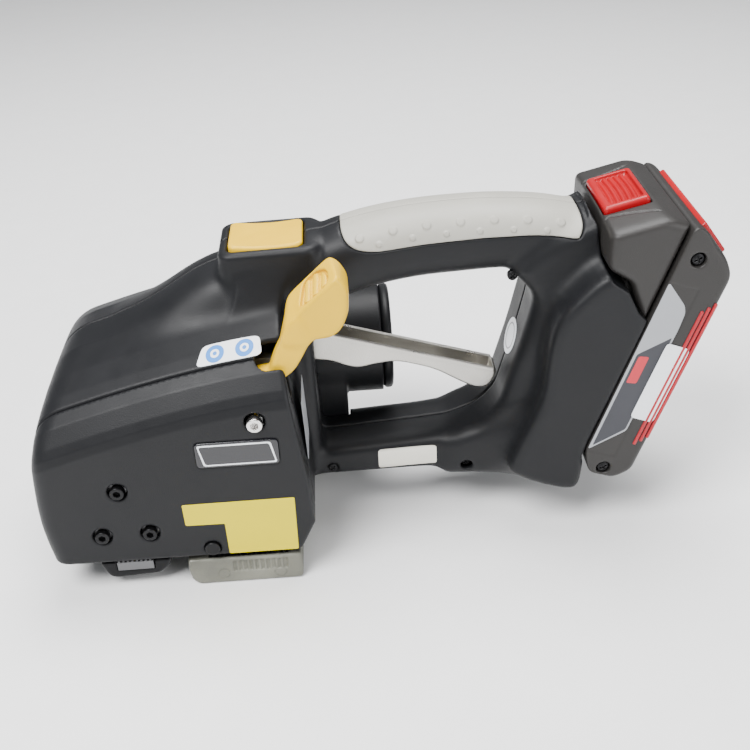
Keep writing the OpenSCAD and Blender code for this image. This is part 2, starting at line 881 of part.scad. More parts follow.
// Side outline of the pack's case: distance behind the tool's face, distance along the slide
case_outline = [
  [gap + 0.1, 1], [6.5, -9.5], [19, -10.3], [pack_depth - 0.2, -3.5], [pack_depth - 0.2, 99.5],
  [20.5, 106], [6, pack_length], [gap + 0.1, pack_length]
];
latch_outline = [
  [0, 69], [0, pack_length], [-12, pack_length], [-30.5, 104.5], [-24, 87.5], [-13, 84.8], [-4.5, 74]
];

// Extrudes a pack outline across the pack, with its long edges eased
module across_pack(half, ease) {
  on_pack() hull() {
    translate([0, half - ease, 0]) rotate([90, 0, 0]) linear_extrude(2 * (half - ease)) children(0);
    translate([0, half, 0]) rotate([90, 0, 0]) linear_extrude(2 * half)
      offset(delta = -ease) children(0);
  }
}

module battery_case() {
  color(charcoal) difference() {
    across_pack(pack_width / 2, 2.5) polygon(case_outline);
    on_pack() translate([2.8, -pack_width / 2 + 3, 0]) cube([pack_depth - 6, pack_width - 6, 97]);
    on_pack() for (p = battery_screw_places)
      translate([p[0], -pack_width / 2 - 1, p[1]]) rotate([-90, 0, 0]) cylinder(r = 3.2, h = 3.4);
    on_pack() vent_place() translate([-8.6, -31, -1.6]) cube([17.2, 62, 4]);
    on_pack() strip_bars();
  }
}

battery_screw_places = [[8.2, 103], [12, -5]];

// Middle of the slope between the pack's end and its rear face
module vent_place() {
  translate([13.25, 0, 111]) rotate([0, atan2(10, 14.5), 0]) children();
}

module vent_grille() {
  color(red) on_pack() vent_place() difference() {
    translate([-8.3, -30.7, -1.5]) cube([16.6, 61.4, 2.1]);
    for (i = [0 : 6]) translate([-6, -27.5 + i * 8, -0.4]) cube([12, 5, 3]);
  }
}

// Middle of the sloped face that carries the release button
module button_place() {
  translate([-21.25, 0, 110.5]) rotate([0, -atan2(12, 18.5), 0]) children();
}

module latch_housing() {
  color(charcoal) difference() {
    union() {
      difference() {
        across_pack(33.5, 3) polygon(latch_outline);
        // Step that rests on the tool's shoulder
        on_pack() along_y(-40, 40)
          polygon([[1, 60], [1, 69], [-4.5, 74.2], [-13, 84.9], [-24.6, 87.6], [-34, 87.7], [-34, 60]]);
      }
      on_pack() translate([-12.5, -26.5, 0]) cube([12.5, 53, 86]);
    }
    on_pack() button_place() translate([-10.3, -17.6, -9]) cube([20.6, 35.2, 20]);
    on_pack() for (y = blade_y) translate([-13, y - 1.2, -1]) cube([6, 2.4, 16]);
    on_pack() translate([-9.5, -22, 20]) cube([7, 44, 60]);
  }
}

module release_button() {
  color(red) on_pack() button_place() {
    translate([-9.9, -17.2, -3.5]) cube([19.8, 34.4, 5]);
    for (i = [0 : 4]) translate([-6.5 + i * 3.2, -14, 1.5]) cube([1.2, 28, 0.6]);
    translate([-4, -5, -5.8]) cube([8, 10, 2.4]);
  }
}

module battery_cells() {
  color("teal") on_pack() for (i = [0 : 4])
    translate([12.6, -32.5, 9.7 + i * 18.6]) rotate([-90, 0, 0]) cylinder(r = 9.1, h = 65);
}

module battery_contacts() {
  color(copper) on_pack() for (y = blade_y) for (side = [-1, 1])
    translate([-11.5, y + side * 0.85 - 0.25, 2]) cube([4.2, 0.5, 11]);
}

module strip_bars() {
  for (side = [-1, 1]) for (i = [0 : 2])
    translate([19.4 + i * 2.1, side * (pack_width / 2) - 0.6, 11 + 2.4 * i]) cube([1.5, 1.2, 71]);
}

module side_strips() {
  color(red) on_pack() strip_bars();
}

module battery_label() {
  color(label_white) on_pack() for (side = [-1, 1])
    translate([0, side * (pack_width / 2 + 0.02) + (side > 0 ? 0.25 : 0), 0]) rotate([90, 0, 0]) linear_extrude(0.25)
      polygon([[3, 4], [14.3, 16.5], [14.3, 71], [12.6, 80.5], [4, 90], [3, 90]]);
}

module battery_sticker() {
  color(label_white) on_pack() translate([12.2, -pack_width / 2 - 0.5, 24.5]) cube([6.9, 0.2, 39]);
}

module battery_screws() {
  color(black) on_pack() for (p = battery_screw_places)
    translate([p[0], -pack_width / 2 + 0.4, p[1]]) rotate([-90, 0, 0]) cylinder(r = 2.9, h = 2);
}

shell_near();
shell_far();
side_cover();
nameplate();
cover_screws();
adjuster_screw();
caution_label();
pictogram_label();
grip_near();
grip_far();
shell_screws();
frame_label();
column_seal();
rear_sticker();
gear_housing();
base_plate();
lower_weld_plate();
base_screws();
foot_arm();
foot_insert();
foot_pin();
foot_spring();
tension_wheel();
tension_shaft();
tension_gear();
cross_shaft();
cross_gear();
bevel_gear();
bevel_pinion();
planet_drum();
shaft_bearings();
motor_housing();
motor_cap();
motor_stator();
motor_rotor();
motor_bearings();
motor_pulley();
drive_belt();
eccentric_shaft();
eccentric_pulley();
weld_shoe();
cutter();
weld_lever();
weld_shaft();
rocker_lever();
lever_pin();
tension_button();
button_switch();
control_board();
terminal_block();
battery_case();
latch_housing();
battery_cells();
battery_contacts();
release_button();
vent_grille();
side_strips();
battery_label();
battery_sticker();
battery_screws();
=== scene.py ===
"""Looks of the battery strapping tool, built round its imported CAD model.

Shapes are distance fields in millimetres, in the CAD frame, turned into meshes by surface_net().
Lengths named here repeat those of the part's source; places of moving pieces come from the frame.
"""

import json
import math

import bmesh
import bpy
import numpy as np
from mathutils import Matrix, Vector


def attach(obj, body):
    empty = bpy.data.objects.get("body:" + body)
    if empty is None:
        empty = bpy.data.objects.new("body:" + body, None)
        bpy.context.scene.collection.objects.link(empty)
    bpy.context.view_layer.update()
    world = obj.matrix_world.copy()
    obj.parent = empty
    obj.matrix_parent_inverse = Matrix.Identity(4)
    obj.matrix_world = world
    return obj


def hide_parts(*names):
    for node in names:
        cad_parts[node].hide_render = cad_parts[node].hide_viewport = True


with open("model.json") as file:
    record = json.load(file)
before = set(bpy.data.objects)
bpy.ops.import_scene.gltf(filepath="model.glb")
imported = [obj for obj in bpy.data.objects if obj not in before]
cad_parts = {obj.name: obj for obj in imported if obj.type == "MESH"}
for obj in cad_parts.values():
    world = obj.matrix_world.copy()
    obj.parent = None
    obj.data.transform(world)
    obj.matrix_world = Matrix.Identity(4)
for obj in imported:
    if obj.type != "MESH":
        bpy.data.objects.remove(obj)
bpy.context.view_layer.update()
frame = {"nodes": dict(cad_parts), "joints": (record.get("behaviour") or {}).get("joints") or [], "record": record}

MM = 0.001
JOINTS = {joint["name"]: joint for joint in frame["joints"]}
SLIDE = JOINTS["battery_slide"]["axis"]
LEAN = math.atan2(SLIDE[0], SLIDE[2])
PACK_CORNER = (93.0, 0.0, 42.0)
PACK = Matrix.Translation(Vector(PACK_CORNER)) @ Matrix.Rotation(LEAN, 4, "Y")

COVER_SEAM = 46.0
HEAD_FLOOR = 16.5
WALL = 2.6
HANDLE_HALF = 17.5
LEVER_PIVOT = tuple(v / MM for v in JOINTS["rocker_squeeze"]["pos_m"])
WELD_PIVOT = tuple(v / MM for v in JOINTS["weld_pull"]["pos_m"])
FOOT_PIVOT = tuple(v / MM for v in JOINTS["foot_open"]["pos_m"])
MOTOR = tuple(v / MM for v in JOINTS["motor_spin"]["pos_m"])
MOTOR_RADIUS = 27.0


# ---------------------------------------------------------------- distance fields


def blend(a, b, k):
    """Union of two fields with a fillet of about k."""
    h = np.clip(0.5 + 0.5 * (b - a) / k, 0, 1)
    return b + (a - b) * h - k * h * (1 - h)


def ease(a, b, k):
    """Intersection of two fields with an edge rounded by about k."""
    return -blend(-a, -b, k)


def cut(a, b, k=0.6):
    """Field a with b taken out, the new edge rounded by about k."""
    return ease(a, -b, k)


def outline(u, v, points):
    """Distance from (u, v) to a closed outline, negative inside."""
    nearest = 1e9
    side = 1.0
    for (au, av), (bu, bv) in zip(points, points[-1:] + points[:-1]):
        eu, ev = bu - au, bv - av
        wu, wv = u - au, v - av
        t = np.clip((wu * eu + wv * ev) / (eu * eu + ev * ev), 0, 1)
        nearest = np.minimum(nearest, (wu - eu * t) ** 2 + (wv - ev * t) ** 2)
        above, below, left = v >= av, v < bv, eu * wv > ev * wu
        side = np.where((above & below & left) | ~(above | below | left), -side, side)
    return side * np.sqrt(nearest)


def rounded(points, radius, steps=4):
    """The outline with each corner replaced by a curve that starts radius before it."""
    out = []
    count = len(points)
    for i, corner in enumerate(points):
        corner = Vector(corner)
        for_side = []
        for other in (points[i - 1], points[(i + 1) % count]):
            way = Vector(other) - corner
            reach = min(radius, way.length * 0.45)
            for_side.append(corner + way.normalized() * reach)
        for s in range(steps + 1):
            t = s / steps
            point = for_side[0] * (1 - t) ** 2 + corner * 2 * t * (1 - t) + for_side[1] * t * t
            out.append((point.x, point.y))
    return out


def block(x, y, z, lo, hi, radius=0.0):
    """A box from lo to hi with its edges rounded."""
    q = [
        np.abs(v - (a + b) / 2) - (b - a) / 2 + radius
        for v, a, b in zip((x, y, z), lo, hi)
    ]
    outside = np.sqrt(sum(np.maximum(v, 0) ** 2 for v in q))
    return outside + np.minimum(np.maximum(np.maximum(q[0], q[1]), q[2]), 0) - radius


def rod(a, b, at, radius):
    """A round bar square to the plane of a and b."""
    return np.sqrt((a - at[0]) ** 2 + (b - at[1]) ** 2) - radius


def slab(v, lo, hi):
    return np.abs(v - (lo + hi) / 2) - (hi - lo) / 2


def through(x, stations, column):
    """A smooth line through listed stations, read at x."""
    xs = np.array([s[0] for s in stations], float)
    vs = np.array([s[column] for s in stations], float)
    slope = np.gradient(vs, xs)
    i = np.clip(np.searchsorted(xs, x) - 1, 0, len(xs) - 2)
    width = xs[i + 1] - xs[i]
    t = np.clip((x - xs[i]) / width, 0, 1)
    return (
        vs[i] * (1 + 2 * t) * (1 - t) ** 2
        + slope[i] * width * t * (1 - t) ** 2
        + vs[i + 1] * t * t * (3 - 2 * t)
        + slope[i + 1] * width * t * t * (t - 1)
    )


def oval(y, z, middle, half_width, half_height, power):
    """A swept oval section whose size changes along x."""
    a, b = np.abs(y) / half_width, np.abs(z - middle) / half_height
    size = (a**power + b**power + 1e-9) ** (1 / power)
    reach = np.sqrt(y**2 + (z - middle) ** 2 + 1e-6)
    return np.maximum(reach * (1 - 1 / size), -np.minimum(half_width, half_height))


# ---------------------------------------------------------------- meshes from fields


def surface_net(distance, lo, hi, step):
    """Points and quads of the surface where distance is 0, drawn onto it by two Newton steps."""
    axes = [np.arange(a - 2 * step, b + 3 * step, step) for a, b in zip(lo, hi)]
    shape = tuple(len(a) for a in axes)
    x, y, z = np.meshgrid(*axes, indexing="ij", sparse=True)
    field = np.array(np.broadcast_to(distance(x, y, z), shape), np.float32)
    for axis in range(3):
        edge = [slice(None)] * 3
        for end in (0, -1):
            edge[axis] = end
            field[tuple(edge)] = np.maximum(field[tuple(edge)], step)
    cells = tuple(n - 1 for n in shape)
    owners, points, quads = [], [], []
    for axis in range(3):
        near, far = [slice(None)] * 3, [slice(None)] * 3
        near[axis], far[axis] = slice(0, -1), slice(1, None)
        a, b = field[tuple(near)], field[tuple(far)]
        flips = (a < 0) != (b < 0)
        at = np.argwhere(flips)
        da, db = a[flips], b[flips]
        crossing = at.astype(float)
        crossing[:, axis] += da / (da - db)
        first, second = [k for k in range(3) if k != axis]
        ring = []
        for s, t in ((0, 0), (1, 0), (1, 1), (0, 1)):
            cell = at.copy()
            cell[:, first] -= s
            cell[:, second] -= t
            ring.append(np.ravel_multi_index(cell.T, cells))
            owners.append(ring[-1])
            points.append(crossing)
        quad = np.stack(ring, 1)
        outward = (da < 0) == (axis != 1)
        quads.append(np.where(outward[:, None], quad, quad[:, ::-1]))
    owners = np.concatenate(owners)
    points = np.concatenate(points)
    used, index = np.unique(owners, return_inverse=True)
    count = np.bincount(index)
    verts = np.stack([np.bincount(index, points[:, k]) / count for k in range(3)], 1)
    verts = verts * step + np.array([a[0] for a in axes])
    quads = np.searchsorted(used, np.concatenate(quads))
    h = 0.25 * step
    for _ in range(2):
        here = distance(*verts.T)
        slope = np.stack(
            [
                (distance(*(verts + h * e).T) - distance(*(verts - h * e).T)) / (2 * h)
                for e in np.eye(3)
            ],
            1,
        )
        move = here[:, None] * slope / np.maximum((slope**2).sum(1), 0.25)[:, None]
        verts = verts - np.clip(move, -0.6 * step, 0.6 * step)
    return verts, quads


def put(obj, material, slot, body, nodes):
    """Links a finished piece: its material, CAD body and the nodes it stands for. The record slot is not used."""
    obj.data.materials.append(material)
    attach(obj, body)
    if nodes:
        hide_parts(*nodes)
    return obj


def link(name, data):
    """A new object of the scene, made from its data."""
    obj = bpy.data.objects.new(name, data)
    bpy.context.scene.collection.objects.link(obj)
    return obj


def new_object(name, verts, faces):
    mesh = bpy.data.meshes.new(name)
    mesh.from_pydata(verts.tolist(), [], faces.tolist())
    mesh.validate()
    mesh.polygons.foreach_set("use_smooth", np.ones(len(mesh.polygons), bool))
    return link(name, mesh)


def moved(points, place):
    """Points carried by a rigid matrix."""
    return points @ np.array(place.to_3x3()).T + np.array(place.translation)


def moulded(name, distance, lo, hi, step, look_of, body, nodes=(), place=None):
    """One piece from a distance field. place moves it from its own axes into the CAD frame."""
    verts, quads = surface_net(distance, lo, hi, step)
    if place is not None:
        verts = moved(verts, place)
    obj = new_object(name, verts * MM, quads)
    return put(obj, *look_of, body, nodes)


# ---------------------------------------------------------------- materials


def texture(tree, scale, detail, rough=0.5):
    noise = tree.nodes.new("ShaderNodeTexNoise")
    noise.inputs["Scale"].default_value = scale
    noise.inputs["Detail"].default_value = detail
    noise.inputs["Roughness"].default_value = rough
    place = tree.nodes.new("ShaderNodeTexCoord")
    tree.links.new(place.outputs["Object"], noise.inputs["Vector"])
    return noise


def ramp(tree, source, stops):
    node = tree.nodes.new("ShaderNodeValToRGB")
    elements = node.color_ramp.elements
    while len(elements) < len(stops):
        elements.new(0.5)
    for element, (place, colour) in zip(elements, stops):
        element.position = place
        element.color = (*colour, 1)
    tree.links.new(source, node.inputs["Fac"])
    return node.outputs["Color"]


def mix(tree, kind, amount, a, b):
    node = tree.nodes.new("ShaderNodeMix")
    node.data_type = "RGBA"
    node.blend_type = kind
    for socket, value in ((node.inputs[0], amount), (node.inputs[6], a), (node.inputs[7], b)):
        if hasattr(value, "links"):
            tree.links.new(value, socket)
        else:
            socket.default_value = value if isinstance(value, float) else (*value, 1)
    return node.outputs[2]


def surface(name, colour, rough, metal=0.0, grain=0.0, grain_size=0.5, mottle=0.06, wear=0.0,
            brushed=None, coat=0.0, specular=0.5, rough_swing=0.08):
    """A procedural surface. grain is the bump's strength and grain_size its feature size in mm,
    mottle the colour variation, wear how far convex edges lighten."""
    material = bpy.data.materials.new(name)
    material.use_nodes = True
    tree = material.node_tree
    shader = tree.nodes["Principled BSDF"]
    shader.inputs["Metallic"].default_value = metal
    shader.inputs["Specular IOR Level"].default_value = specular
    if coat:
        shader.inputs["Coat Weight"].default_value = coat
        shader.inputs["Coat Roughness"].default_value = 0.12
    cloud = texture(tree, 45.0, 3.0)
    dark = tuple(c * (1 - mottle) for c in colour)
    light = tuple(min(1.0, c * (1 + mottle)) for c in colour)
    shade = ramp(tree, cloud.outputs["Fac"], [(0.3, dark), (0.7, light)])
    if wear:
        geometry = tree.nodes.new("ShaderNodeNewGeometry")
        edge = ramp(
            tree, geometry.outputs["Pointiness"], [(0.52, (0, 0, 0)), (0.6, (wear, wear, wear))]
        )
        scuff = texture(tree, 220.0, 4.0)
        broken = mix(tree, "MULTIPLY", 1.0, edge, ramp(
            tree, scuff.outputs["Fac"], [(0.45, (0, 0, 0)), (0.6, (1, 1, 1))]))
        pale = tuple(min(1.0, c * 1.5 + 0.08) for c in colour)
        shade = mix(tree, "MIX", broken, shade, pale)
    tree.links.new(shade, shader.inputs["Base Color"])
    smudge = texture(tree, 90.0, 4.0, 0.6)
    low, high = max(0.03, rough - rough_swing), min(1.0, rough + rough_swing)
    gloss = ramp(tree, smudge.outputs["Fac"], [(0.3, (low,) * 3), (0.7, (high,) * 3)])
    tree.links.new(gloss, shader.inputs["Roughness"])
    if grain:
        fine = texture(tree, 1000.0 / grain_size, 2.0)
        if brushed is not None:
            stretch = tree.nodes.new("ShaderNodeMapping")
            stretch.inputs["Scale"].default_value = brushed
            tree.links.new(fine.inputs["Vector"].links[0].from_socket, stretch.inputs["Vector"])
            tree.links.new(stretch.outputs["Vector"], fine.inputs["Vector"])
        bump = tree.nodes.new("ShaderNodeBump")
        bump.inputs["Strength"].default_value = grain
        bump.inputs["Distance"].default_value = grain_size * MM * 0.25
        tree.links.new(fine.outputs["Fac"], bump.inputs["Height"])
        tree.links.new(bump.outputs["Normal"], shader.inputs["Normal"])
    return material


LOOKS = {
    "black_plastic": surface("black_plastic", (0.0075, 0.0078, 0.009), 0.46, grain=0.45,
                             grain_size=0.45, wear=0.05, mottle=0.08, specular=0.22,
                             rough_swing=0.04),
    "black_gloss": surface("black_gloss", (0.005, 0.005, 0.008), 0.2, grain=0.05, coat=0.3),
    "black_steel": surface("black_steel", (0.009, 0.009, 0.01), 0.36, 0.7, grain=0.15, wear=0.5),
    "bright_steel": surface("bright_steel", (0.74, 0.72, 0.7), 0.22, 1.0, grain=0.1, wear=0.1),
    "tool_steel": surface("tool_steel", (0.16, 0.16, 0.165), 0.36, 0.95, grain=0.2, mottle=0.12),
    "spring_steel": surface("spring_steel", (0.4, 0.4, 0.41), 0.3, 1.0, grain=0.1),
    "cast_alloy": surface("cast_alloy", (0.5, 0.51, 0.5), 0.5, 0.9, grain=0.5, grain_size=0.8),
    "cast_alloy_base": surface("cast_alloy_base", (0.17, 0.17, 0.14), 0.6, 0.35, grain=0.9,
                               grain_size=1.3, mottle=0.35, wear=0.3, rough_swing=0.15),
    "yellow_label": surface("yellow_label", (0.68, 0.56, 0.0), 0.42, grain=0.04, mottle=0.03,
                            specular=0.2),
    "white_label": surface("white_label", (0.82, 0.85, 0.88), 0.4, grain=0.04, mottle=0.02),
    "grey_label": surface("grey_label", (0.3, 0.31, 0.33), 0.38, grain=0.04, mottle=0.03),
    "silver_label": surface("silver_label", (0.72, 0.7, 0.62), 0.35, 0.75, grain=0.12,
                            grain_size=0.3, brushed=(0.05, 1, 1)),
    "grey_grip": surface("grey_grip", (0.36, 0.35, 0.31), 0.52, grain=0.2, grain_size=0.35,
                         mottle=0.05, rough_swing=0.06),
    "copper": surface("copper", (0.72, 0.38, 0.18), 0.35, 1.0, grain=0.4, grain_size=0.6),
    "belt_rubber": surface("belt_rubber", (0.02, 0.02, 0.02), 0.7, grain=0.4),
    "yellow_plastic": surface("yellow_plastic", (0.74, 0.45, 0.0), 0.38, grain=0.12,
                              grain_size=0.4, mottle=0.04, specular=0.3),
    "zinc_steel": surface("zinc_steel", (0.5, 0.485, 0.45), 0.34, 0.95, grain=0.55,
                          grain_size=0.7, mottle=0.08, wear=0.15),
    "board": surface("board", (0.02, 0.16, 0.06), 0.45, grain=0.2),
    "charcoal_plastic": surface("charcoal_plastic", (0.02, 0.0185, 0.0175), 0.46, grain=0.5,
                                grain_size=0.5, wear=0.08, mottle=0.08, specular=0.35,
                                rough_swing=0.04),
    "cell_sleeve": surface("cell_sleeve", (0.03, 0.3, 0.35), 0.35, grain=0.05),
    "red_plastic": surface("red_plastic", (0.34, 0.0, 0.005), 0.38, grain=0.15,
                           grain_size=0.4, mottle=0.06, specular=0.35),
    "red_rubber": surface("red_rubber", (0.36, 0.006, 0.014), 0.5, grain=0.3, grain_size=0.4),
    "blue_ink": surface("blue_ink", (0.03, 0.2, 0.6), 0.42, grain=0.04),
    "dark_ink": surface("dark_ink", (0.02, 0.021, 0.028), 0.4, grain=0.04),
    "red_ink": surface("red_ink", (0.5, 0.015, 0.03), 0.4, grain=0.04),
}


def look(slot):
    return LOOKS[slot], slot


# ---------------------------------------------------------------- body shape

# The head: its nose and its rear edge in side view, and half of its cross section
NOSE = rounded([(40, 0), (-146, 0), (-150.5, 33), (-150.5, 47), (-148.3, 72), (-143.7, 88),
                (-134.6, 104.5), (-124, 124), (-90, 190), (40, 190)], 9)
REAR = [(-37.6, 0), (-37.6, 16), (-30.4, 31), (-31.6, 52), (-38.4, 113), (-38.4, 170), (-200, 170),
        (-200, 0)]
CROWN = [(-90, -60), (60, -60), (60, 92), (59, 96), (57, 99.5), (52, 106), (46, 110.3),
         (40, 113.4), (30, 117.6), (16, 122), (0, 124), (-90, 124)]
FALL_START = -38.0
FALL_SCALE = 0.02725
FALL_POWER = 1.45
# Ridge from the head's crown up to the button: place, top, half width
RIDGE = [(-125, 98, 19), (-112, 106, 20), (-102, 112.5, 21), (-92, 119.5, 22), (-84, 125, 22),
         (-75, 130, 22), (-66, 133.5, 22), (-50, 134.5, 21.5), (-30, 136, 19)]
# Handle: place, underside, top
HANDLE = [(-80, 98, 118), (-66, 98, 131), (-42, 104, 142), (-26, 108, 143.2), (-12, 114.5, 147.5),
          (2, 119, 150.8), (18, 122, 153), (40, 123.5, 154.2), (60, 124, 153.8), (78, 122.5, 151.8),
          (90, 118, 149.4), (104, 110, 147.5)]
# Lower frame: place, bottom, top, half width
FRAME = [(-52, 23.5, 40, 17.5), (-25, 23.5, 40.2, 18.5), (0, 23.5, 41.8, 18.5),
         (28, 23.3, 43.8, 19), (44, 22.4, 46, 20.5), (56, 21.8, 54, 25), (70, 21.5, 62, 32)]
# Rear column in side view, at the thickness of the frame
COLUMN = rounded([(30, 22), (85.5, 20.8), (92.5, 21.4), (97, 40), (125, 120), (103, 152), (60, 128),
                  (72, 114), (69, 100), (57, 58), (50, 48), (38, 44)], 6)
# Wide flat part of the rear block in side view
CHEEK = rounded([(58, 34), (66, 28.5), (84, 20.8), (93, 21.2), (94, 42), (120, 112), (104, 131),
                 (96, 131), (79, 113), (75, 96), (74, 73)], 9)
# Faces of the pack that the rear block wraps, in the pack's axes: distance behind, place up
PACK_FACES = [(60, -60), (60, 160), (-60, 160), (-42, 126), (-34, 103), (-30.8, 99.6), (-25, 88),
              (-21.5, 83.9), (-13.2, 81.4), (-5, 73.3), (-0.1, 71), (-0.1, -1.5), (5.8, -12),
              (8, -60)]
SHELL_GAP = 0.22


def on_pack(x, z):
    """Distance behind the pack's face and place along its slide."""
    dx, dz = x - PACK_CORNER[0], z - PACK_CORNER[2]
    return dx * math.cos(LEAN) - dz * math.sin(LEAN), dx * math.sin(LEAN) + dz * math.cos(LEAN)


def fall(x):
    """How far the head's shoulders drop towards the nose."""
    return FALL_SCALE * np.maximum(FALL_START - x, 0) ** FALL_POWER


def head(x, y, z):
    section = outline(np.abs(y), z + fall(x), CROWN) * 0.97
    shape = ease(section, outline(x, z, NOSE), 8)
    top = through(x, RIDGE, 1)
    half = through(x, RIDGE, 2)
    ridge = np.maximum(oval(y, z, top - 20 - 0.12 * np.maximum(-112 - x, 0) ** 1.5, half, 20, 2.5),
                       np.maximum(-132 - x, x + 24))
    shape = blend(shape, ridge, 9)
    shape = ease(shape, outline(x, z, REAR), 2.0)
    return ease(shape, HEAD_FLOOR - z, 1.6)


def handle(x, y, z):
    low, high = through(x, HANDLE, 1), through(x, HANDLE, 2)
    wide = HANDLE_HALF + 2.2 * np.clip((-26 - x) / 30, 0, 1)
    shape = oval(y, z, (low + high) / 2, wide, (high - low) / 2, 2.6)
    return np.maximum(shape, np.maximum(-54 - x, x - 101))


def lower_frame(x, y, z):
    low, high, half = (through(x, FRAME, k) for k in (1, 2, 3))
    shape = oval(y, z, (low + high) / 2, half, (high - low) / 2, 4.0)
    return np.maximum(shape, np.maximum(-50 - x, x - 70))


def collar(x, y, z):
    """Raised rim round the tension button."""
    plan = block(x, y, z, (-63.4, -18.2, 100), (-20, 18.2, 146), 6)
    return ease(plan, z - 143.4 - 0.03 * (x + 40), 2.2)


def whole_body(x, y, z):
    shape = blend(head(x, y, z), handle(x, y, z), 9)
    shape = blend(shape, collar(x, y, z), 3.5)
    wall = block(x, y, z, (-46, -18.3, 27), (-26.2, 18.3, 112), 4)
    low = blend(lower_frame(x, y, z), wall, 5)
    column = ease(outline(x, z, COLUMN), np.abs(y) - 20.5, 7)
    cheek = ease(outline(x, z, CHEEK), np.abs(y) - 37.8, 5)
    rear = blend(column, cheek, 11)
    shape = blend(shape, blend(low, rear, 8), 5)
    neck = oval(y, z, 133.5, 18.5, 17.5, 2.8)
    n, u = on_pack(x, z)
    neck = ease(neck, outline(n, u, PACK_FACES) * -1 - 3.2, 1)
    band = np.maximum(neck, 94 - x)
    shape = np.minimum(shape, band)
    return np.maximum(shape, -outline(n, u, PACK_FACES))


GRIP = rounded([(-11.5, 190), (-11.5, 147.5), (-9, 143), (-4, 140.2), (4, 139.4), (24, 141.6),
                (49, 142.8), (70, 142.6), (88.6, 140.6), (90, 141.6), (92.4, 148), (88.5, 155),
                (86, 190)], 4)


def lever_slot(x, y, z):
    """Slot of the weld lever, through the near shell and the side cover."""
    return block(x, y, z, (-49.6, -51, 86), (-22, -38.5, 170), 5.5)


def cutouts(x, y, z, shape):
    """Openings through the shells, taken out of the whole body."""
    well = block(x, y, z, (-59.4, -14, 121), (-26.6, 14, 190), 3.4)
    shape = cut(shape, well, 1.2)
    shape = cut(shape, lever_slot(x, y, z), 1.0)
    lever = block(x, y, z, (-60, -8.8, 66), (-10, 8.8, 110.4), 1.5)
    shape = cut(shape, lever, 0.8)
    motor = np.maximum(rod(y, z, MOTOR[1:], MOTOR_RADIUS + 0.3), slab(x, -62, 30))
    shape = cut(shape, motor, 0.5)
    box = block(x, y, z, (-31, MOTOR[1] - 26.4, 33.6), (-12, MOTOR[1] + 0.5, 70), 1)
    return np.maximum(shape, -box)


def hollow(outer):
    """The skin of a shell: what lies deeper than its wall is empty."""
    return np.maximum(outer, -(outer + WALL))


def screw_well(x, y, z, at, radius, y0, y1):
    return np.maximum(rod(x, z, at, radius), slab(y, y0, y1))


FRAME_SCREWS = [(-22, 29.2), (41.5, 28.4)]
BOSS_SCREW = (62, 124.0)


def shell(side):
    """Field of one half of the housing."""

    def distance(x, y, z):
        outer = whole_body(x, y, z)
        skin = cut(outer, ease(outline(x, z, GRIP), -(outer + 1.6), 0.3), 0.5)
        shape = hollow(skin)
        shape = cutouts(x, y, z, shape)
        if side < 0:
            for at in FRAME_SCREWS:
                shape = cut(shape, screw_well(x, y, z, at, 2.9, -40, -17.6), 0.5)
            cover = (COVER_SEAM - SHELL_GAP + y) * -1
            return ease(ease(shape, y + SHELL_GAP, 0.9), cover, 0.9)
        return ease(shape, SHELL_GAP - y, 0.9)

    return distance


COVER_SCREWS = [(-113.4, 55.3), (-123.8, 31.6), (-102.9, 31.9)]
ADJUSTER = (-51.4, 86.7)
PLATE = ((-78.4, -42.2), (64.8, 78.6))
SEAL_START = (54.0, 0.0, 88.0)


def side_cover(x, y, z):
    outer = head(x, y, z)
    shape = hollow(outer)
    for at in COVER_SCREWS:
        shape = cut(shape, screw_well(x, y, z, at, 4.3, -70, -50), 0.8)
    shape = cut(shape, screw_well(x, y, z, ADJUSTER, 4.4, -70, -50), 0.8)
    shape = cut(shape, screw_well(x, y, z, FOOT_PIVOT[::2], 3.7, -70, -50), 0.6)
    plate = block(x, y, z, (PLATE[0][0], -70, PLATE[1][0]), (PLATE[0][1], -59, PLATE[1][1]), 2.4)
    shape = cut(shape, plate, 0.7)
    shape = cut(shape, lever_slot(x, y, z), 1.0)
    return ease(shape, y + COVER_SEAM + SHELL_GAP, 0.9)


def grip(side):
    def distance(x, y, z):
        outer = whole_body(x, y, z)
        shape = ease(outer - 0.15, outline(x, z, GRIP) + 0.25, 0.9)
        shape = np.maximum(shape, -(outer + 1.4))
        for first, count, turn, radius in BEADS:
            c, s = math.cos(math.radians(turn)), math.sin(math.radians(turn))
            for i in range(count):
                bx = first + BEAD_STEP * i
                lo, hi = through(np.array(bx), HANDLE, 1), through(np.array(bx), HANDLE, 2)
                by = side * HANDLE_HALF * c ** (2 / 2.6)
                bz = (lo + hi) / 2 + (hi - lo) / 2 * s ** (2 / 2.6)
                ball = np.sqrt((x - bx) ** 2 + (y - by) ** 2 + (z - bz) ** 2) - radius
                near = ease(ball, outer - 0.75, 0.3)
                shape = blend(shape, near, 0.25)
        return ease(shape, SHELL_GAP - side * y, 0.4)

    return distance


BEAD_STEP = 14.2
BEADS = [(-3, 7, 40, 1.9), (5, 6, 22, 1.35)]


# ---------------------------------------------------------------- moving and fixed pieces


def button(x, y, z):
    """Tension button: a pillow with a shallow dish along its length."""
    body = block(x, y, z, (-58.9, -13.5, 128), (-27.1, 13.5, 149), 3.4)
    dish = 143.9 + 0.005 * (x + 43) ** 2 - 0.0015 * y**2
    return ease(body, (z - dish) * 0.98, 1.8)


LEVER_ARM = [(-51, 91), (-44.5, 90.5), (-39.5, 99), (-33.5, 103.5), (-29.8, 109.5), (-26.5, 116),
             (-30, 128), (-36, 121), (-41.5, 111), (-45, 101.5), (-52, 100)]
LEVER_PAD = rounded([(-36.5, 117), (-31, 116.5), (-26, 117), (-17, 117.8), (-12.6, 121.5),
                     (-9.6, 129), (-9.1, 139), (-12.6, 145), (-16.5, 147), (-20, 145), (-34, 131.6),
                     (-36.2, 124)], 3)
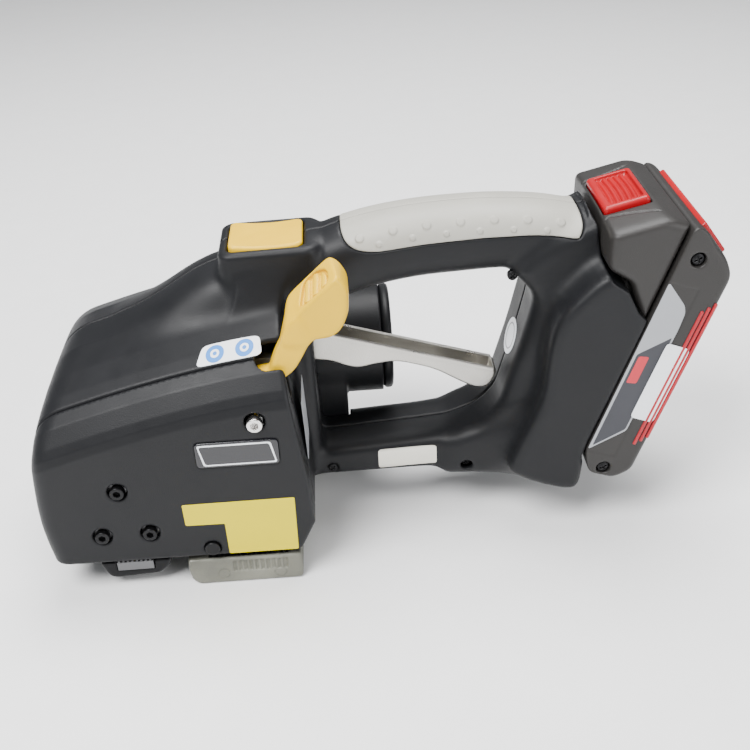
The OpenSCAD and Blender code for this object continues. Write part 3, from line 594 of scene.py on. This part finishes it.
# Face under the thumb: a point on it, its axes along the slope, across it and out of it, and the
# outline, depth and bars of its recess, measured along and across from that point
THUMB_AT = (-30.2, -49, 130.6)
THUMB_AXES = ((0.744, 0, 0.668), (-0.1055, 0.9877, 0.1176), (-0.66, -0.158, 0.735))
THUMB = rounded([(0.8, 1.4), (5.6, 16.6), (13.5, 16.2), (18.6, 10.4), (18.2, 1.6), (11, 0.8)], 4)
THUMB_DEPTH = 2.1
THUMB_BARS = (4.4, 9.3, 14.2)


def weld_lever(x, y, z):
    arm = ease(outline(x, z, rounded(LEVER_ARM, 3)), slab(y, -49.6, -40.6), 2)
    boss = ease(rod(x, z, WELD_PIVOT[::2], 6.9), slab(y, -49.5, -40.5), 1)
    pad = ease(outline(x, z, LEVER_PAD), slab(y, -50, -31), 3.2)
    shape = blend(blend(arm, boss, 3), pad, 4)
    offset = [v - at for v, at in zip((x, y, z), THUMB_AT)]
    along, across, above = [sum(v * k for v, k in zip(offset, axis)) for axis in THUMB_AXES]
    shape = ease(shape, above, 1.2)
    leaf = outline(along, across, THUMB)
    bars = 1e3
    for at in THUMB_BARS:
        bar = np.sqrt((along - at - 0.19 * across) ** 2 + (above + THUMB_DEPTH) ** 2) - 1.7
        bars = np.minimum(bars, bar)
    shape = cut(shape, ease(leaf, -THUMB_DEPTH - above, 0.6), 0.7)
    shape = np.minimum(shape, np.maximum(bars, leaf + 1.2))
    return np.maximum(shape, -rod(x, z, WELD_PIVOT[::2], 3.05))


def motor_body(x, y, z):
    tube = ease(rod(y, z, MOTOR[1:], MOTOR_RADIUS), slab(x, -41.4, 5.45), 0.6)
    box = block(x, y, z, (-29.4, MOTOR[1] - 25.9, 34.1), (-12.6, MOTOR[1] - 0.1, 70), 1.8)
    shape = blend(tube, box, 1.5)
    return np.maximum(shape, -rod(y, z, MOTOR[1:], MOTOR_RADIUS - WALL))


def motor_cap(x, y, z):
    disc = ease(rod(y, z, MOTOR[1:], MOTOR_RADIUS - 0.8), slab(x, 5.6, 10.5), 2.6)
    spigot = np.maximum(rod(y, z, MOTOR[1:], MOTOR_RADIUS - WALL - 0.1), slab(x, 2, 6))
    shape = np.minimum(disc, spigot)
    shape = np.maximum(shape, -np.maximum(rod(y, z, MOTOR[1:], 8.2), x - 7))
    shape = np.maximum(shape, -np.maximum(rod(y, z, MOTOR[1:], 20), x - 4.6))
    for i in range(10):
        a = math.radians(36 * i)
        u = (y - MOTOR[1]) * math.cos(a) + (z - MOTOR[2]) * math.sin(a)
        v = (z - MOTOR[2]) * math.cos(a) - (y - MOTOR[1]) * math.sin(a)
        shape = cut(shape, block(u, v, x, (13, -1.2, -5), (21, 1.2, 30), 1.1), 0.4)
    return shape


def lever_side_axes(x, z):
    """Place along the rocker lever and height square to it, from its pivot."""
    turn = math.radians(17.7)
    dx, dz = x - LEVER_PIVOT[0], z - LEVER_PIVOT[2]
    return dx * math.cos(turn) - dz * math.sin(turn), dx * math.sin(turn) + dz * math.cos(turn)


TROUGH = rounded([(-8, -6), (-8, 5), (-3, 8), (116, 8), (117.5, 6), (116.5, -1.5), (112, -4.2),
                  (106, -3.8), (88, 1.2), (70, 1.4), (60, -3), (54, -6.5), (48, -6.9), (40, -5.6),
                  (22, -9), (6, -9)], 6)
SHEET = 1.5


def rocker(x, y, z):
    """Pressed trough: a bent sheet with its top edges rolled outwards."""
    a, h = lever_side_axes(x, z)
    side = outline(a, h, TROUGH)
    outer = ease(side, np.abs(y) - 6.5, 1.6)
    inside = ease(np.minimum(side + SHEET, np.maximum(slab(a, -20, 115.2), 2 - h)),
                  np.abs(y) - 6.5 + SHEET, 0.8)
    shape = ease(outer, -inside, 0.35)
    lip = np.sqrt((np.abs(y) - 5.9) ** 2 + (h - 7.2) ** 2) - 0.95
    shape = blend(shape, np.maximum(lip, slab(a, -2, 115.4)), 0.5)
    shape = np.maximum(shape, np.abs(y) - 6.6)
    return np.maximum(shape, -rod(x, z, LEVER_PIVOT[::2], 3.05))


def base_plate(x, y, z):
    """Cast base with its strap guide, the foot's slot and the casting's marks."""
    shape = block(x, y, z, (-89, -60, 0), (-38, 44, 14), 1.3)
    deck = block(x, y, z, (-89, -35.8, 12), (-38, 44, 17.7), 0.8)
    shape = blend(shape, deck, 1.2)
    foot_room = block(x, y, z, (-97, -30, 2.5), (-63, -6, 40), 1.0)
    shape = cut(shape, foot_room, 0.8)
    shape = cut(shape, block(x, y, z, (-80, -58, 8), (-44, -38, 30), 0.8), 0.6)
    # Corner bevel towards the foot, the rear bevel, the ribbed relief and the ejector marks
    shape = ease(shape, (-(x + 89) * 0.62 - (z - 4) * 0.34 - (y + 60) * 0.7 + 1.2) * 0.98, 1.0)
    shape = ease(shape, ((x + 38) * 0.5 - (z - 3.4) * 0.6 - 1.6) * 0.9, 1.0)
    relief = block(x, y, z, (-69, -62, 6.2), (-44.5, -59.1, 12.4), 0.5)
    shape = cut(shape, relief, 0.4)
    for i in range(9):
        rib = block(x, y, z, (-67.6 + 2.5 * i, -60.2, 6), (-66.6 + 2.5 * i, -59, 12.6), 0.4)
        shape = np.minimum(shape, np.maximum(rib, -59.9 - y))
    for at in ((-73.5, 5.4), (-48.0, 4.2)):
        ring = np.abs(rod(x, z, at, 2.6)) - 0.28
        shape = cut(shape, np.maximum(ring, y + 59.6), 0.2)
    for px in (-84, -46):
        for py in (0, 36):
            shape = np.maximum(shape, -rod(x, y, (px, py), 2.1))
    return np.maximum(shape, -rod(x, z, FOOT_PIVOT[::2], 3.6))


FOOT_SIDE = rounded([(-129, 14), (-125.6, 5.6), (-122.5, 4.4), (-103, 5.6), (-98.5, 9), (-96, 14)],
                    2)


def foot_arm(x, y, z):
    toe = ease(outline(x, z, FOOT_SIDE), slab(y, -57, -37.6), 1.6)
    bridge = block(x, y, z, (-110, -42, 6), (-92, -8, 14), 1.5)
    reach = [(-95, 6), (-76.8, 15.2), (-71.6, 21), (-76.8, 26.6), (-98, 13.9), (-98, 7)]
    arm = ease(outline(x, z, rounded(reach, 2.5)), slab(y, -28, -8), 1)
    boss = ease(rod(x, z, FOOT_PIVOT[::2], 6.2), slab(y, -28, -8), 0.6)
    shape = blend(blend(toe, bridge, 2), blend(arm, boss, 2), 2)
    pocket = block(x, y, z, (-121.5, -58, 9), (-104.5, -40.5, 30), 0.4)
    shape = cut(shape, pocket, 0.5)
    return np.maximum(shape, -rod(x, z, FOOT_PIVOT[::2], 3.05))


def foot_insert(x, y, z):
    shape = block(x, y, z, (-121.2, -57.4, 9.1), (-104.8, -41, 14), 0.4)
    for i in range(8):
        tooth = block(x, y, z, (-120.7 + 2 * i, -57.2, 13), (-119.7 + 2 * i, -41.2, 14.5), 0.2)
        shape = np.minimum(shape, tooth)
    return shape


# Battery pieces, in the pack's axes: distance behind the tool's face, y, place along the slide
CASE = rounded([(0.4, 1), (6.5, -9.5), (19, -10.3), (25.8, -3.5), (25.8, 99.5), (20.5, 106),
                (6, 116), (0.4, 116)], 3.5)
LATCH = rounded([(0, 69), (0, 116), (-12, 116), (-30.5, 104.5), (-26.5, 92), (-24, 87.5),
                 (-13, 84.8), (-4.5, 74)], 2.2)
PACK_SCREWS = [(8.2, 103), (12, -5)]
# Sloped faces of the vent and the release button: centre and turn
VENT_FACE = (13.25, 111), math.atan2(10, 14.5)
BUTTON_FACE = (-21.25, 110.5), -math.atan2(12, 18.5)


def turned(n, u, centre, turn):
    """Axes of a sloped face: along it towards the rear, and out of it."""
    dn, du = n - centre[0], u - centre[1]
    return dn * math.cos(turn) - du * math.sin(turn), dn * math.sin(turn) + du * math.cos(turn)


def case(n, y, u):
    edge = 0.8 + 2.6 * np.clip((n - 4) / 10, 0, 1)
    shape = ease(outline(n, u, CASE), np.abs(y) - 38, edge)
    # Shallow bed for the label on each side
    bed = block(n, np.abs(y), u, (-4, 37.75, 2), (14.6, 50, 91), 0.6)
    shape = cut(shape, bed, 0.25)
    for side in (-1, 1):
        for at in PACK_SCREWS:
            hole = np.maximum(rod(n, u, at, 3.3), slab(side * y, 34.4, 60))
            shape = cut(shape, hole, 1.0)
    a, b = turned(n, u, *VENT_FACE)
    shape = np.maximum(shape, -block(a, y, b, (-8.6, -31, -1.7), (8.6, 31, 9), 0.8))
    hidden = block(n, y, u, (3.0, -34.9, 0.4), (22.6, 34.9, 96.6), 1)
    return np.maximum(shape, -hidden)


def latch(n, y, u):
    shape = ease(outline(n, u, LATCH), np.abs(y) - 36.4, 4.5)
    # Crowned top: the sloped face falls away to both sides
    a, b = turned(n, u, *BUTTON_FACE)
    shape = ease(shape, (b + 0.0022 * y * y - 0.9) * 0.95, 2.5)
    shape = ease(shape, n, 0.8)
    tongue = block(n, y, u, (-12.5, -26.5, 0), (-0.02, 26.5, 86), 0.8)
    shape = np.minimum(shape, tongue)
    # Groove line either side of the release button
    groove = np.abs(np.abs(y) - 20.6 - 0.012 * (a + 11) ** 2) - 0.4
    shape = cut(shape, np.maximum(groove, -1.6 - b), 0.3)
    shape = cut(shape, block(a, y, b, (-10.3, -17.6, -9), (10.3, 17.6, 9), 1.6), 0.7)
    for py in (-12, -4, 4, 12):
        shape = np.maximum(shape, -block(n, y, u, (-14, py - 1.2, -1), (-7, py + 1.2, 15), 0))
    shape = np.maximum(shape, -block(n, y, u, (-9.5, -22, 20), (-2.5, 22, 80), 0))
    return shape


def release(n, y, u):
    a, b = turned(n, u, *BUTTON_FACE)
    shape = block(a, y, b, (-9.9, -17.2, -3.5), (9.9, 17.2, 1.9), 1.7)
    dish = block(a, y, b, (-6.4, -14.2, 0.0), (7.8, 14.4, 6), 1.4)
    shape = cut(shape, dish, 0.6)
    for i in range(5):
        at = -4.6 + 2.5 * i
        rib = ((b - 0.1) ** 2 + (a - at + 0.0036 * y * y) ** 2) ** 0.5 - 0.95
        rib = np.maximum(rib, slab(y, -13.6, 13.8))
        shape = blend(shape, rib, 0.3)
    stem = block(a, y, b, (-4, -5, -5.8), (4, 5, -3), 0.5)
    return np.minimum(shape, stem)


def vent(n, y, u):
    a, b = turned(n, u, *VENT_FACE)
    shape = block(a, y, b, (-8.3, -30.7, -1.5), (8.3, 30.7, 1.6), 0.9)
    for i in range(7):
        low = -27.5 + 8 * i
        shape = cut(shape, block(a, y, b, (-6, low, -0.6), (6, low + 5, 5), 0.9), 0.5)
    return shape


def strips(n, y, u):
    shape = 1e3
    for i in range(3):
        n0, u0 = 19.4 + 2.1 * i, 11 + 2.4 * i
        bar = block(n, np.abs(y), u, (n0, 37.4, u0), (n0 + 1.5, 38.6, u0 + 71), 0.45)
        shape = np.minimum(shape, bar)
    return shape


def socket_screw(centre, head, deep, shank, length):
    """Cap screw along y with a hexagon socket, its head's face at centre."""

    def distance(x, y, z):
        x, y, z = x - centre[0], y - centre[1], z - centre[2]
        cap = ease(np.sqrt(x * x + z * z) - head, slab(y, 0, deep), 0.5)
        body = np.maximum(np.sqrt(x * x + z * z) - shank, slab(y, deep - 0.4, length))
        hexagon = np.maximum(np.abs(x), np.abs(x) * 0.5 + np.abs(z) * 0.866) - head * 0.47
        dimple = ease(cap, -np.maximum(hexagon, y - deep * 0.6), 0.2)
        return np.minimum(dimple, body)

    return distance


def cross_screw(centre, head, deep):
    """Pan head screw along y with a cross recess."""

    def distance(x, y, z):
        x, y, z = x - centre[0], y - centre[1], z - centre[2]
        r = np.sqrt(x * x + z * z)
        cap = ease(r - head, np.maximum(0.09 * r * r - y, y - deep), 0.5)
        a, b = (x + z) * 0.707, (x - z) * 0.707
        cross = np.minimum(
            np.maximum(np.abs(a) - head * 0.14, np.abs(b) - head * 0.62),
            np.maximum(np.abs(b) - head * 0.14, np.abs(a) - head * 0.62),
        )
        return ease(cap, -np.maximum(cross, y - 1.1), 0.15)

    return distance


def patch(name, corners, thick, place, look_of, body, nodes=(), squareness=5.0, cells=(28, 14)):
    """A thin label from four corners in its own plane, rounded, and laid by place(u, v, lift)."""
    cols, rows = cells
    s = np.linspace(-1, 1, cols + 1)
    t = np.linspace(-1, 1, rows + 1)
    s, t = [v.ravel() for v in np.meshgrid(s, t, indexing="ij")]
    size = np.maximum(np.abs(s), np.abs(t))
    round_size = (np.abs(s) ** squareness + np.abs(t) ** squareness) ** (1 / squareness)
    pull = np.where(round_size > 0, size / np.maximum(round_size, 1e-9), 1)
    s, t = (s * pull + 1) / 2, (t * pull + 1) / 2
    a, b, c, d = [np.array(p, float) for p in corners]
    flat = (
        np.outer((1 - s) * (1 - t), a) + np.outer(s * (1 - t), b)
        + np.outer(s * t, c) + np.outer((1 - s) * t, d)
    )
    top = place(flat[:, 0], flat[:, 1], thick)
    under = place(flat[:, 0], flat[:, 1], 0.0)
    count = len(flat)
    index = np.arange(count).reshape(cols + 1, rows + 1)
    quad = np.stack([index[:-1, :-1], index[1:, :-1], index[1:, 1:], index[:-1, 1:]], -1)
    quad = quad.reshape(-1, 4)
    rim = np.concatenate([index[:, 0], index[-1, 1:], index[-2::-1, -1], index[0, -2:0:-1]])
    after = np.roll(rim, -1)
    walls = np.stack([rim, rim + count, after + count, after], 1)
    faces = np.concatenate([quad, quad[:, ::-1] + count, walls])
    obj = new_object(name, np.concatenate([top, under]) * MM, faces)
    tidy_normals(obj)
    return put(obj, *look_of, body, nodes)


def tidy_normals(obj, merge=False):
    bm = bmesh.new()
    bm.from_mesh(obj.data)
    if merge:
        bmesh.ops.remove_doubles(bm, verts=bm.verts, dist=1e-7)
    bmesh.ops.recalc_face_normals(bm, faces=bm.faces)
    bm.to_mesh(obj.data)
    bm.free()
    obj.data.set_sharp_from_angle(angle=math.radians(40))


EDGE_BEVEL = 0.12


def plate(name, points, radius, thick, place, look_of, body, nodes=()):
    """A thin flat label of any outline, laid by place(u, v, lift), with a soft top edge."""
    ring = np.array(rounded(points, radius, 5))
    middle = ring.mean(0)
    reach = np.maximum(np.linalg.norm(ring - middle, axis=1), 1)
    inner = ring + (middle - ring) * (EDGE_BEVEL / reach)[:, None]
    layers = [place(*ring.T, 0.0), place(*ring.T, thick * 0.6), place(*inner.T, thick)]
    bm = bmesh.new()
    rows = [[bm.verts.new(v * MM) for v in layer] for layer in layers]
    n = len(ring)
    for low, high in zip(rows, rows[1:]):
        for i in range(n):
            bm.faces.new((low[i], low[(i + 1) % n], high[(i + 1) % n], high[i]))
    bm.faces.new(rows[-1])
    bm.faces.new(rows[0][::-1])
    bmesh.ops.recalc_face_normals(bm, faces=bm.faces)
    mesh = bpy.data.meshes.new(name)
    bm.to_mesh(mesh)
    bm.free()
    return put(link(name, mesh), *look_of, body, nodes)


# Room left between a curved body and the label laid on it
LABEL_GAP = 0.06


def facing_near(level):
    """Lays a label in the xz plane on a face that looks towards -y."""

    def place(u, v, lift):
        return np.stack([u, np.full_like(u, level) - lift, v], 1)

    return place


def wrapped(field, level):
    """Lays a label on the near side of a curved body, square to y."""

    def place(u, v, lift):
        y = np.full_like(u, level)
        for _ in range(40):
            y = y + 0.8 * np.clip(field(u, y, v) - lift - LABEL_GAP, -1, 1)
        return np.stack([u, y, v], 1)

    return place


def draped(field, level):
    """Lays a label on the top of a curved body, square to z."""

    def place(u, v, lift):
        z = np.full_like(u, level)
        for _ in range(40):
            z = z - 0.8 * np.clip(field(u, v, z) - lift - LABEL_GAP, -1, 1)
        return np.stack([u, v, z], 1)

    return place


def on_case(side):
    """Lays a label on the pack's side wall."""

    def place(u, v, lift):
        local = np.stack([u, np.full_like(u, side * 37.78) + side * lift, v], 1)
        return moved(local, PACK)

    return place


def thrown(field, start, across, up, way):
    """Lays a label on a curved body from a point in front of it, moving along way."""
    start, across, up, way = [np.array(v, float) for v in (start, across, up, way)]

    def place(u, v, lift):
        point = start + np.outer(u, across) + np.outer(v, up)
        for _ in range(60):
            gap = np.clip(field(*point.T) - lift - LABEL_GAP, -1, 1)
            point = point + 0.8 * gap[:, None] * way
        return point

    return place


def disc(name, centre, radius, thick, place, look_of, body, hole=0.0, nodes=()):
    """A thin disc or ring printed on a label."""
    turns = np.linspace(0, 2 * math.pi, 49)[:-1]
    radii = np.linspace(hole, radius, 6)
    grid = [
        (centre[0] + r * np.cos(turns), centre[1] + r * np.sin(turns)) for r in radii
    ]
    u, v = [np.concatenate([g[k] for g in grid]) for k in (0, 1)]
    verts = place(u, v, thick)
    n = len(turns)
    faces = []
    for k in range(len(radii) - 1):
        for i in range(n):
            j = (i + 1) % n
            faces.append((k * n + i, k * n + j, (k + 1) * n + j, (k + 1) * n + i))
    low = place(u, v, 0.0)
    count = len(verts)
    faces = np.array(faces)
    rims = []
    for row in (0, len(radii) - 1):
        i = np.arange(n) + row * n
        j = (np.arange(n) + 1) % n + row * n
        rims.append(np.stack([i, j, j + count, i + count], 1))
    every = np.concatenate([faces, faces[:, ::-1] + count] + rims)
    obj = new_object(name, np.concatenate([verts, low]) * MM, every)
    tidy_normals(obj, merge=True)
    return put(obj, *look_of, body, nodes)


# ---------------------------------------------------------------- assembly

moulded("housing_near", shell(-1), (-151, -46.2, 15), (133, 0, 157), 0.9,
        look("black_plastic"), "tool", ["shell_near"])
moulded("housing_far", shell(1), (-151, 0, 15), (133, 60.2, 157), 0.9,
        look("black_plastic"), "tool", ["shell_far"])
moulded("head_side_cover", side_cover, (-151, -60.2, 15), (-29, -46, 116), 0.7,
        look("black_plastic"), "tool", ["side_cover"])
moulded("soft_grip_near", grip(-1), (-13, -19, 137), (93.5, 0, 156), 0.45,
        look("grey_grip"), "tool", ["grip_near"])
moulded("soft_grip_far", grip(1), (-13, 0, 137), (93.5, 19, 156), 0.45,
        look("grey_grip"), "tool", ["grip_far"])
moulded("button_cap", button, (-59.5, -14, 128), (-26.5, 14, 146.5), 0.45,
        look("yellow_plastic"), "tension_button", ["tension_button"])
moulded("thumb_lever", weld_lever, (-56, -50.5, 88.5), (-8, -26, 148), 0.45,
        look("yellow_plastic"), "weld_lever", ["weld_lever"])
moulded("motor_case", motor_body, (-42, 8.8, 33), (6, 63.2, 97), 0.7,
        look("black_plastic"), "tool", ["motor_housing"])
moulded("motor_end_cap", motor_cap, (1.5, 9.5, 42), (11, 62.5, 96), 0.55,
        look("black_plastic"), "tool", ["motor_cap"])
moulded("squeeze_lever", rocker, (-66, -7.2, 55), (62, 7.2, 109), 0.4,
        look("zinc_steel"), "rocker_lever", ["rocker_lever"])
moulded("cast_base", base_plate, (-89.5, -60.5, -0.5), (-37.5, 44.5, 18), 0.6,
        look("cast_alloy_base"), "tool", ["base_plate"])
moulded("front_foot", foot_arm, (-130, -57.5, 3.8), (-70, -7.5, 28), 0.5,
        look("black_steel"), "foot", ["foot_arm"])
moulded("foot_pad", foot_insert, (-121.6, -57.8, 8.7), (-104.4, -40.6, 14.9), 0.28,
        look("tool_steel"), "foot", ["foot_insert"])
moulded("pack_case", case, (-0.5, -38.5, -11), (26.5, 38.5, 117), 0.7,
        look("charcoal_plastic"), "battery", ["battery_case"], PACK)
moulded("pack_latch", latch, (-33, -37.5, -1), (0.5, 37.5, 118), 0.7,
        look("charcoal_plastic"), "battery", ["latch_housing"], PACK)
moulded("pack_release", release, (-33.5, -17.8, 98), (-10, 17.8, 119), 0.4,
        look("red_plastic"), "release_button", ["release_button"], PACK)
moulded("pack_vent", vent, (4, -31.5, 103), (22.5, 31.5, 119), 0.4,
        look("red_plastic"), "battery", ["vent_grille"], PACK)
moulded("pack_strips", strips, (19, -39, 10), (26, 39, 89), 0.4,
        look("red_rubber"), "battery", ["side_strips"], PACK)


def screw(name, field, at, span, half, step, slot, body, nodes=(), place=None):
    """One screw along y at (x, z), meshed over span in y and half to each side."""
    moulded(name, field, (at[0] - half, span[0], at[1] - half),
            (at[0] + half, span[1], at[1] + half), step, look(slot), body, nodes, place)


for i, at in enumerate(COVER_SCREWS):
    screw(f"cover_screw_{i + 1}", socket_screw((at[0], -61.3, at[1]), 3.1, 3.4, 1.7, 5), at,
          (-61.8, -56), 3.5, 0.2, "black_steel", "tool", ["cover_screws"] if i == 0 else ())
screw("adjuster", socket_screw((ADJUSTER[0], -62.9, ADJUSTER[1]), 3.3, 3.8, 1.8, 14), ADJUSTER,
      (-63.4, -48.5), 3.7, 0.22, "bright_steel", "tool", ["adjuster_screw"])
for i, (at, y) in enumerate(zip([*FRAME_SCREWS, BOSS_SCREW], (-18.4, -19.2, -16.6))):
    screw(f"housing_screw_{i + 1}", cross_screw((at[0], y, at[1]), 2.3, 3), at,
          (y - 0.5, y + 3.4), 2.7, 0.2, "black_steel", "tool", ["shell_screws"] if i == 0 else ())
for i, at in enumerate(PACK_SCREWS):
    screw(f"pack_screw_{i + 1}", cross_screw((at[0], -37.3, at[1]), 2.8, 2.4), at,
          (-37.8, -34.6), 3.2, 0.22, "black_steel", "battery",
          ["battery_screws"] if i == 0 else (), PACK)


def cap_head(x, y, z):
    pin = np.maximum(rod(x, z, FOOT_PIVOT[::2], 3.0), slab(y, -58.4, 17))
    head_disc = ease(rod(x, z, FOOT_PIVOT[::2], 3.4), slab(y, -61.2, -58), 0.7)
    return np.minimum(pin, head_disc)


moulded("foot_pivot_pin", cap_head, (-80.5, -61.6, 17), (-73, 17.4, 25), 0.35,
        look("black_steel"), "tool", ["foot_pin"])


def nameplate(x, y, z):
    (x0, x1), (z0, z1) = [(a + 0.5, b - 0.5) for a, b in PLATE]
    box = block(x, y, z, (x0, -60.5, z0), (x1, -59, z1), 0.5)
    corners = rounded([(x0, z0), (x1, z0), (x1, z1), (x0, z1)], 2.6)
    return ease(box, outline(x, z, corners), 0.3)


moulded("blank_nameplate", nameplate, (-78.4, -60.9, 64.6), (-42.2, -58.6, 78.8), 0.3,
        look("black_gloss"), "tool", ["nameplate"])
for inset, thick, ink in ((1.6, 0.1, "white_label"), (2.3, 0.16, "black_gloss")):
    (x0, x1), (z0, z1) = [(a + inset, b - inset) for a, b in PLATE]
    plate(f"nameplate_{ink}", [(x0 + 2, z0), (x1, z0), (x1 - 2, z1), (x0, z1)], 1.0, thick,
          facing_near(-60.5), (LOOKS[ink], "black_gloss"), "tool")
plate("caution_blank", [(-87, 34.8), (-69.9, 34.6), (-69.7, 17.3), (-38.9, 17.3), (-38.4, 46.4),
                        (-87.2, 46.2)], 0.8, 0.2, facing_near(-60.02), look("yellow_label"), "tool",
      ["caution_label"])
over_body = draped(whole_body, 118)
patch("pictogram_blank", [(-74.5, -45.4), (-46.5, -45.4), (-47.5, -36.2), (-71.5, -36.2)], 0.15,
      over_body, look("white_label"), "tool", ["pictogram_label"], 7, (36, 16))
for i, at in enumerate(((-66.3, -41.0), (-53.8, -40.9))):
    disc(f"pictogram_disc_{i + 1}", at, 3.9, 0.22, over_body, (LOOKS["blue_ink"], "white_label"),
         "tool")
    disc(f"pictogram_mark_{i + 1}", at, 1.9, 0.28, over_body, (LOOKS["white_label"], "white_label"),
         "tool", 0.9)
on_column = thrown(whole_body, SEAL_START, (0, 1, 0), (0.27, 0, 0.963), (0.963, 0, -0.27))
disc("round_seal", (0, 0), 8.6, 0.15, on_column, look("white_label"), "tool", 0.0, ["column_seal"])
disc("round_seal_mark", (0, 0), 6.4, 0.21, on_column, (LOOKS["grey_label"], "white_label"),
     "tool", 5.6)
near_frame = wrapped(whole_body, -19)
patch("foil_label", [(0, 27.5), (27.5, 28.8), (27.5, 39), (0, 38)], 0.15, near_frame,
      look("silver_label"), "tool", ["frame_label"], 14, (30, 12))
for side in (-1, 1):
    lay = on_case(side)
    tag = "near" if side < 0 else "far"
    plate(f"pack_label_{tag}",
          [(0.7, 3.2), (13.7, 17.0), (14.1, 71), (13.5, 79), (11.7, 82.3), (0.7, 90.5)], 1.4, 0.16,
          lay, look("grey_label"), "battery", ["battery_label"] if side < 0 else ())
    plate(f"pack_label_field_{tag}", [(1.9, 5.6), (12.9, 17.6), (13.2, 66.8), (1.9, 55.2)], 1.0,
          0.24, lay, (LOOKS["dark_ink"], "grey_label"), "battery")
    plate(f"pack_label_mark_{tag}", [(3.0, 40.6), (7.6, 41.4), (7.6, 55.4), (3.0, 54.6)], 1.0, 0.32,
          lay, (LOOKS["red_ink"], "grey_label"), "battery")
STICKER_LIFT = 0.5
patch("pack_sticker", [(12.1, 24.6), (23.2, 24.4), (23.2, 63.5), (12.1, 63.9)], 0.2,
      lambda u, v, lift: on_case(-1)(u, v, lift + STICKER_LIFT), look("white_label"), "battery",
      ["battery_sticker"], 16, (12, 30))

# CAD nodes that stay: each takes its slot's surface
SLOTS = {part["node"]: part["material_slot"] for part in frame["record"]["subparts"]}
for name, node in frame["nodes"].items():
    node.data.materials.clear()
    node.data.materials.append(LOOKS["grey_label" if name == "rear_sticker" else SLOTS[name]])

# ---------------------------------------------------------------- stage

floor_mesh = bpy.data.meshes.new("floor")
bm = bmesh.new()
bmesh.ops.create_grid(bm, x_segments=1, y_segments=1, size=6)
bm.to_mesh(floor_mesh)
bm.free()
floor = link("floor", floor_mesh)
floor.data.materials.append(surface("pale_floor", (0.86, 0.86, 0.86), 0.7, mottle=0.01))
floor.location.z = -0.0002


def lamp(name, place, aim, size, power, tint=(1, 1, 1)):
    data = bpy.data.lights.new(name, "AREA")
    data.shape = "DISK"
    data.size = size
    data.energy = power
    data.color = tint
    obj = link(name, data)
    obj.location = place
    way = Vector(aim) - Vector(place)
    obj.rotation_euler = way.to_track_quat("-Z", "Y").to_euler()


lamp("key", (-0.5, -0.5, 1.1), (0, 0, 0.08), 0.7, 30)
lamp("top", (0.1, 0.35, 1.2), (0, 0, 0.08), 0.8, 24)
lamp("fill", (0.9, -0.8, 0.5), (0, 0, 0.08), 0.9, 11)

world = bpy.data.worlds.new("pale")
world.use_nodes = True
sky = world.node_tree.nodes["Background"].inputs
sky["Color"].default_value = (0.95, 0.97, 1.0, 1)
sky["Strength"].default_value = 0.34
bpy.context.scene.world = world

LENS = 49.92
CAMERA_AT = (-0.01073, -0.41555, 0.32808)
AZIMUTH, ELEVATION, ROLL = math.radians(-1.6), math.radians(32.0), math.radians(3.0)
back = Vector((math.sin(AZIMUTH) * math.cos(ELEVATION), -math.cos(AZIMUTH) * math.cos(ELEVATION),
               math.sin(ELEVATION)))
right = (-back).cross(Vector((0, 0, 1))).normalized()
up = right.cross(-back)
cam_right = right * math.cos(ROLL) - up * math.sin(ROLL)
cam_up = right * math.sin(ROLL) + up * math.cos(ROLL)
camera_data = bpy.data.cameras.new("camera")
camera_data.sensor_width = 36
camera_data.lens = LENS
camera = link("camera", camera_data)
turn = Matrix((cam_right, cam_up, back)).transposed()
camera.matrix_world = Matrix.Translation(CAMERA_AT) @ turn.to_4x4()
bpy.context.scene.camera = camera
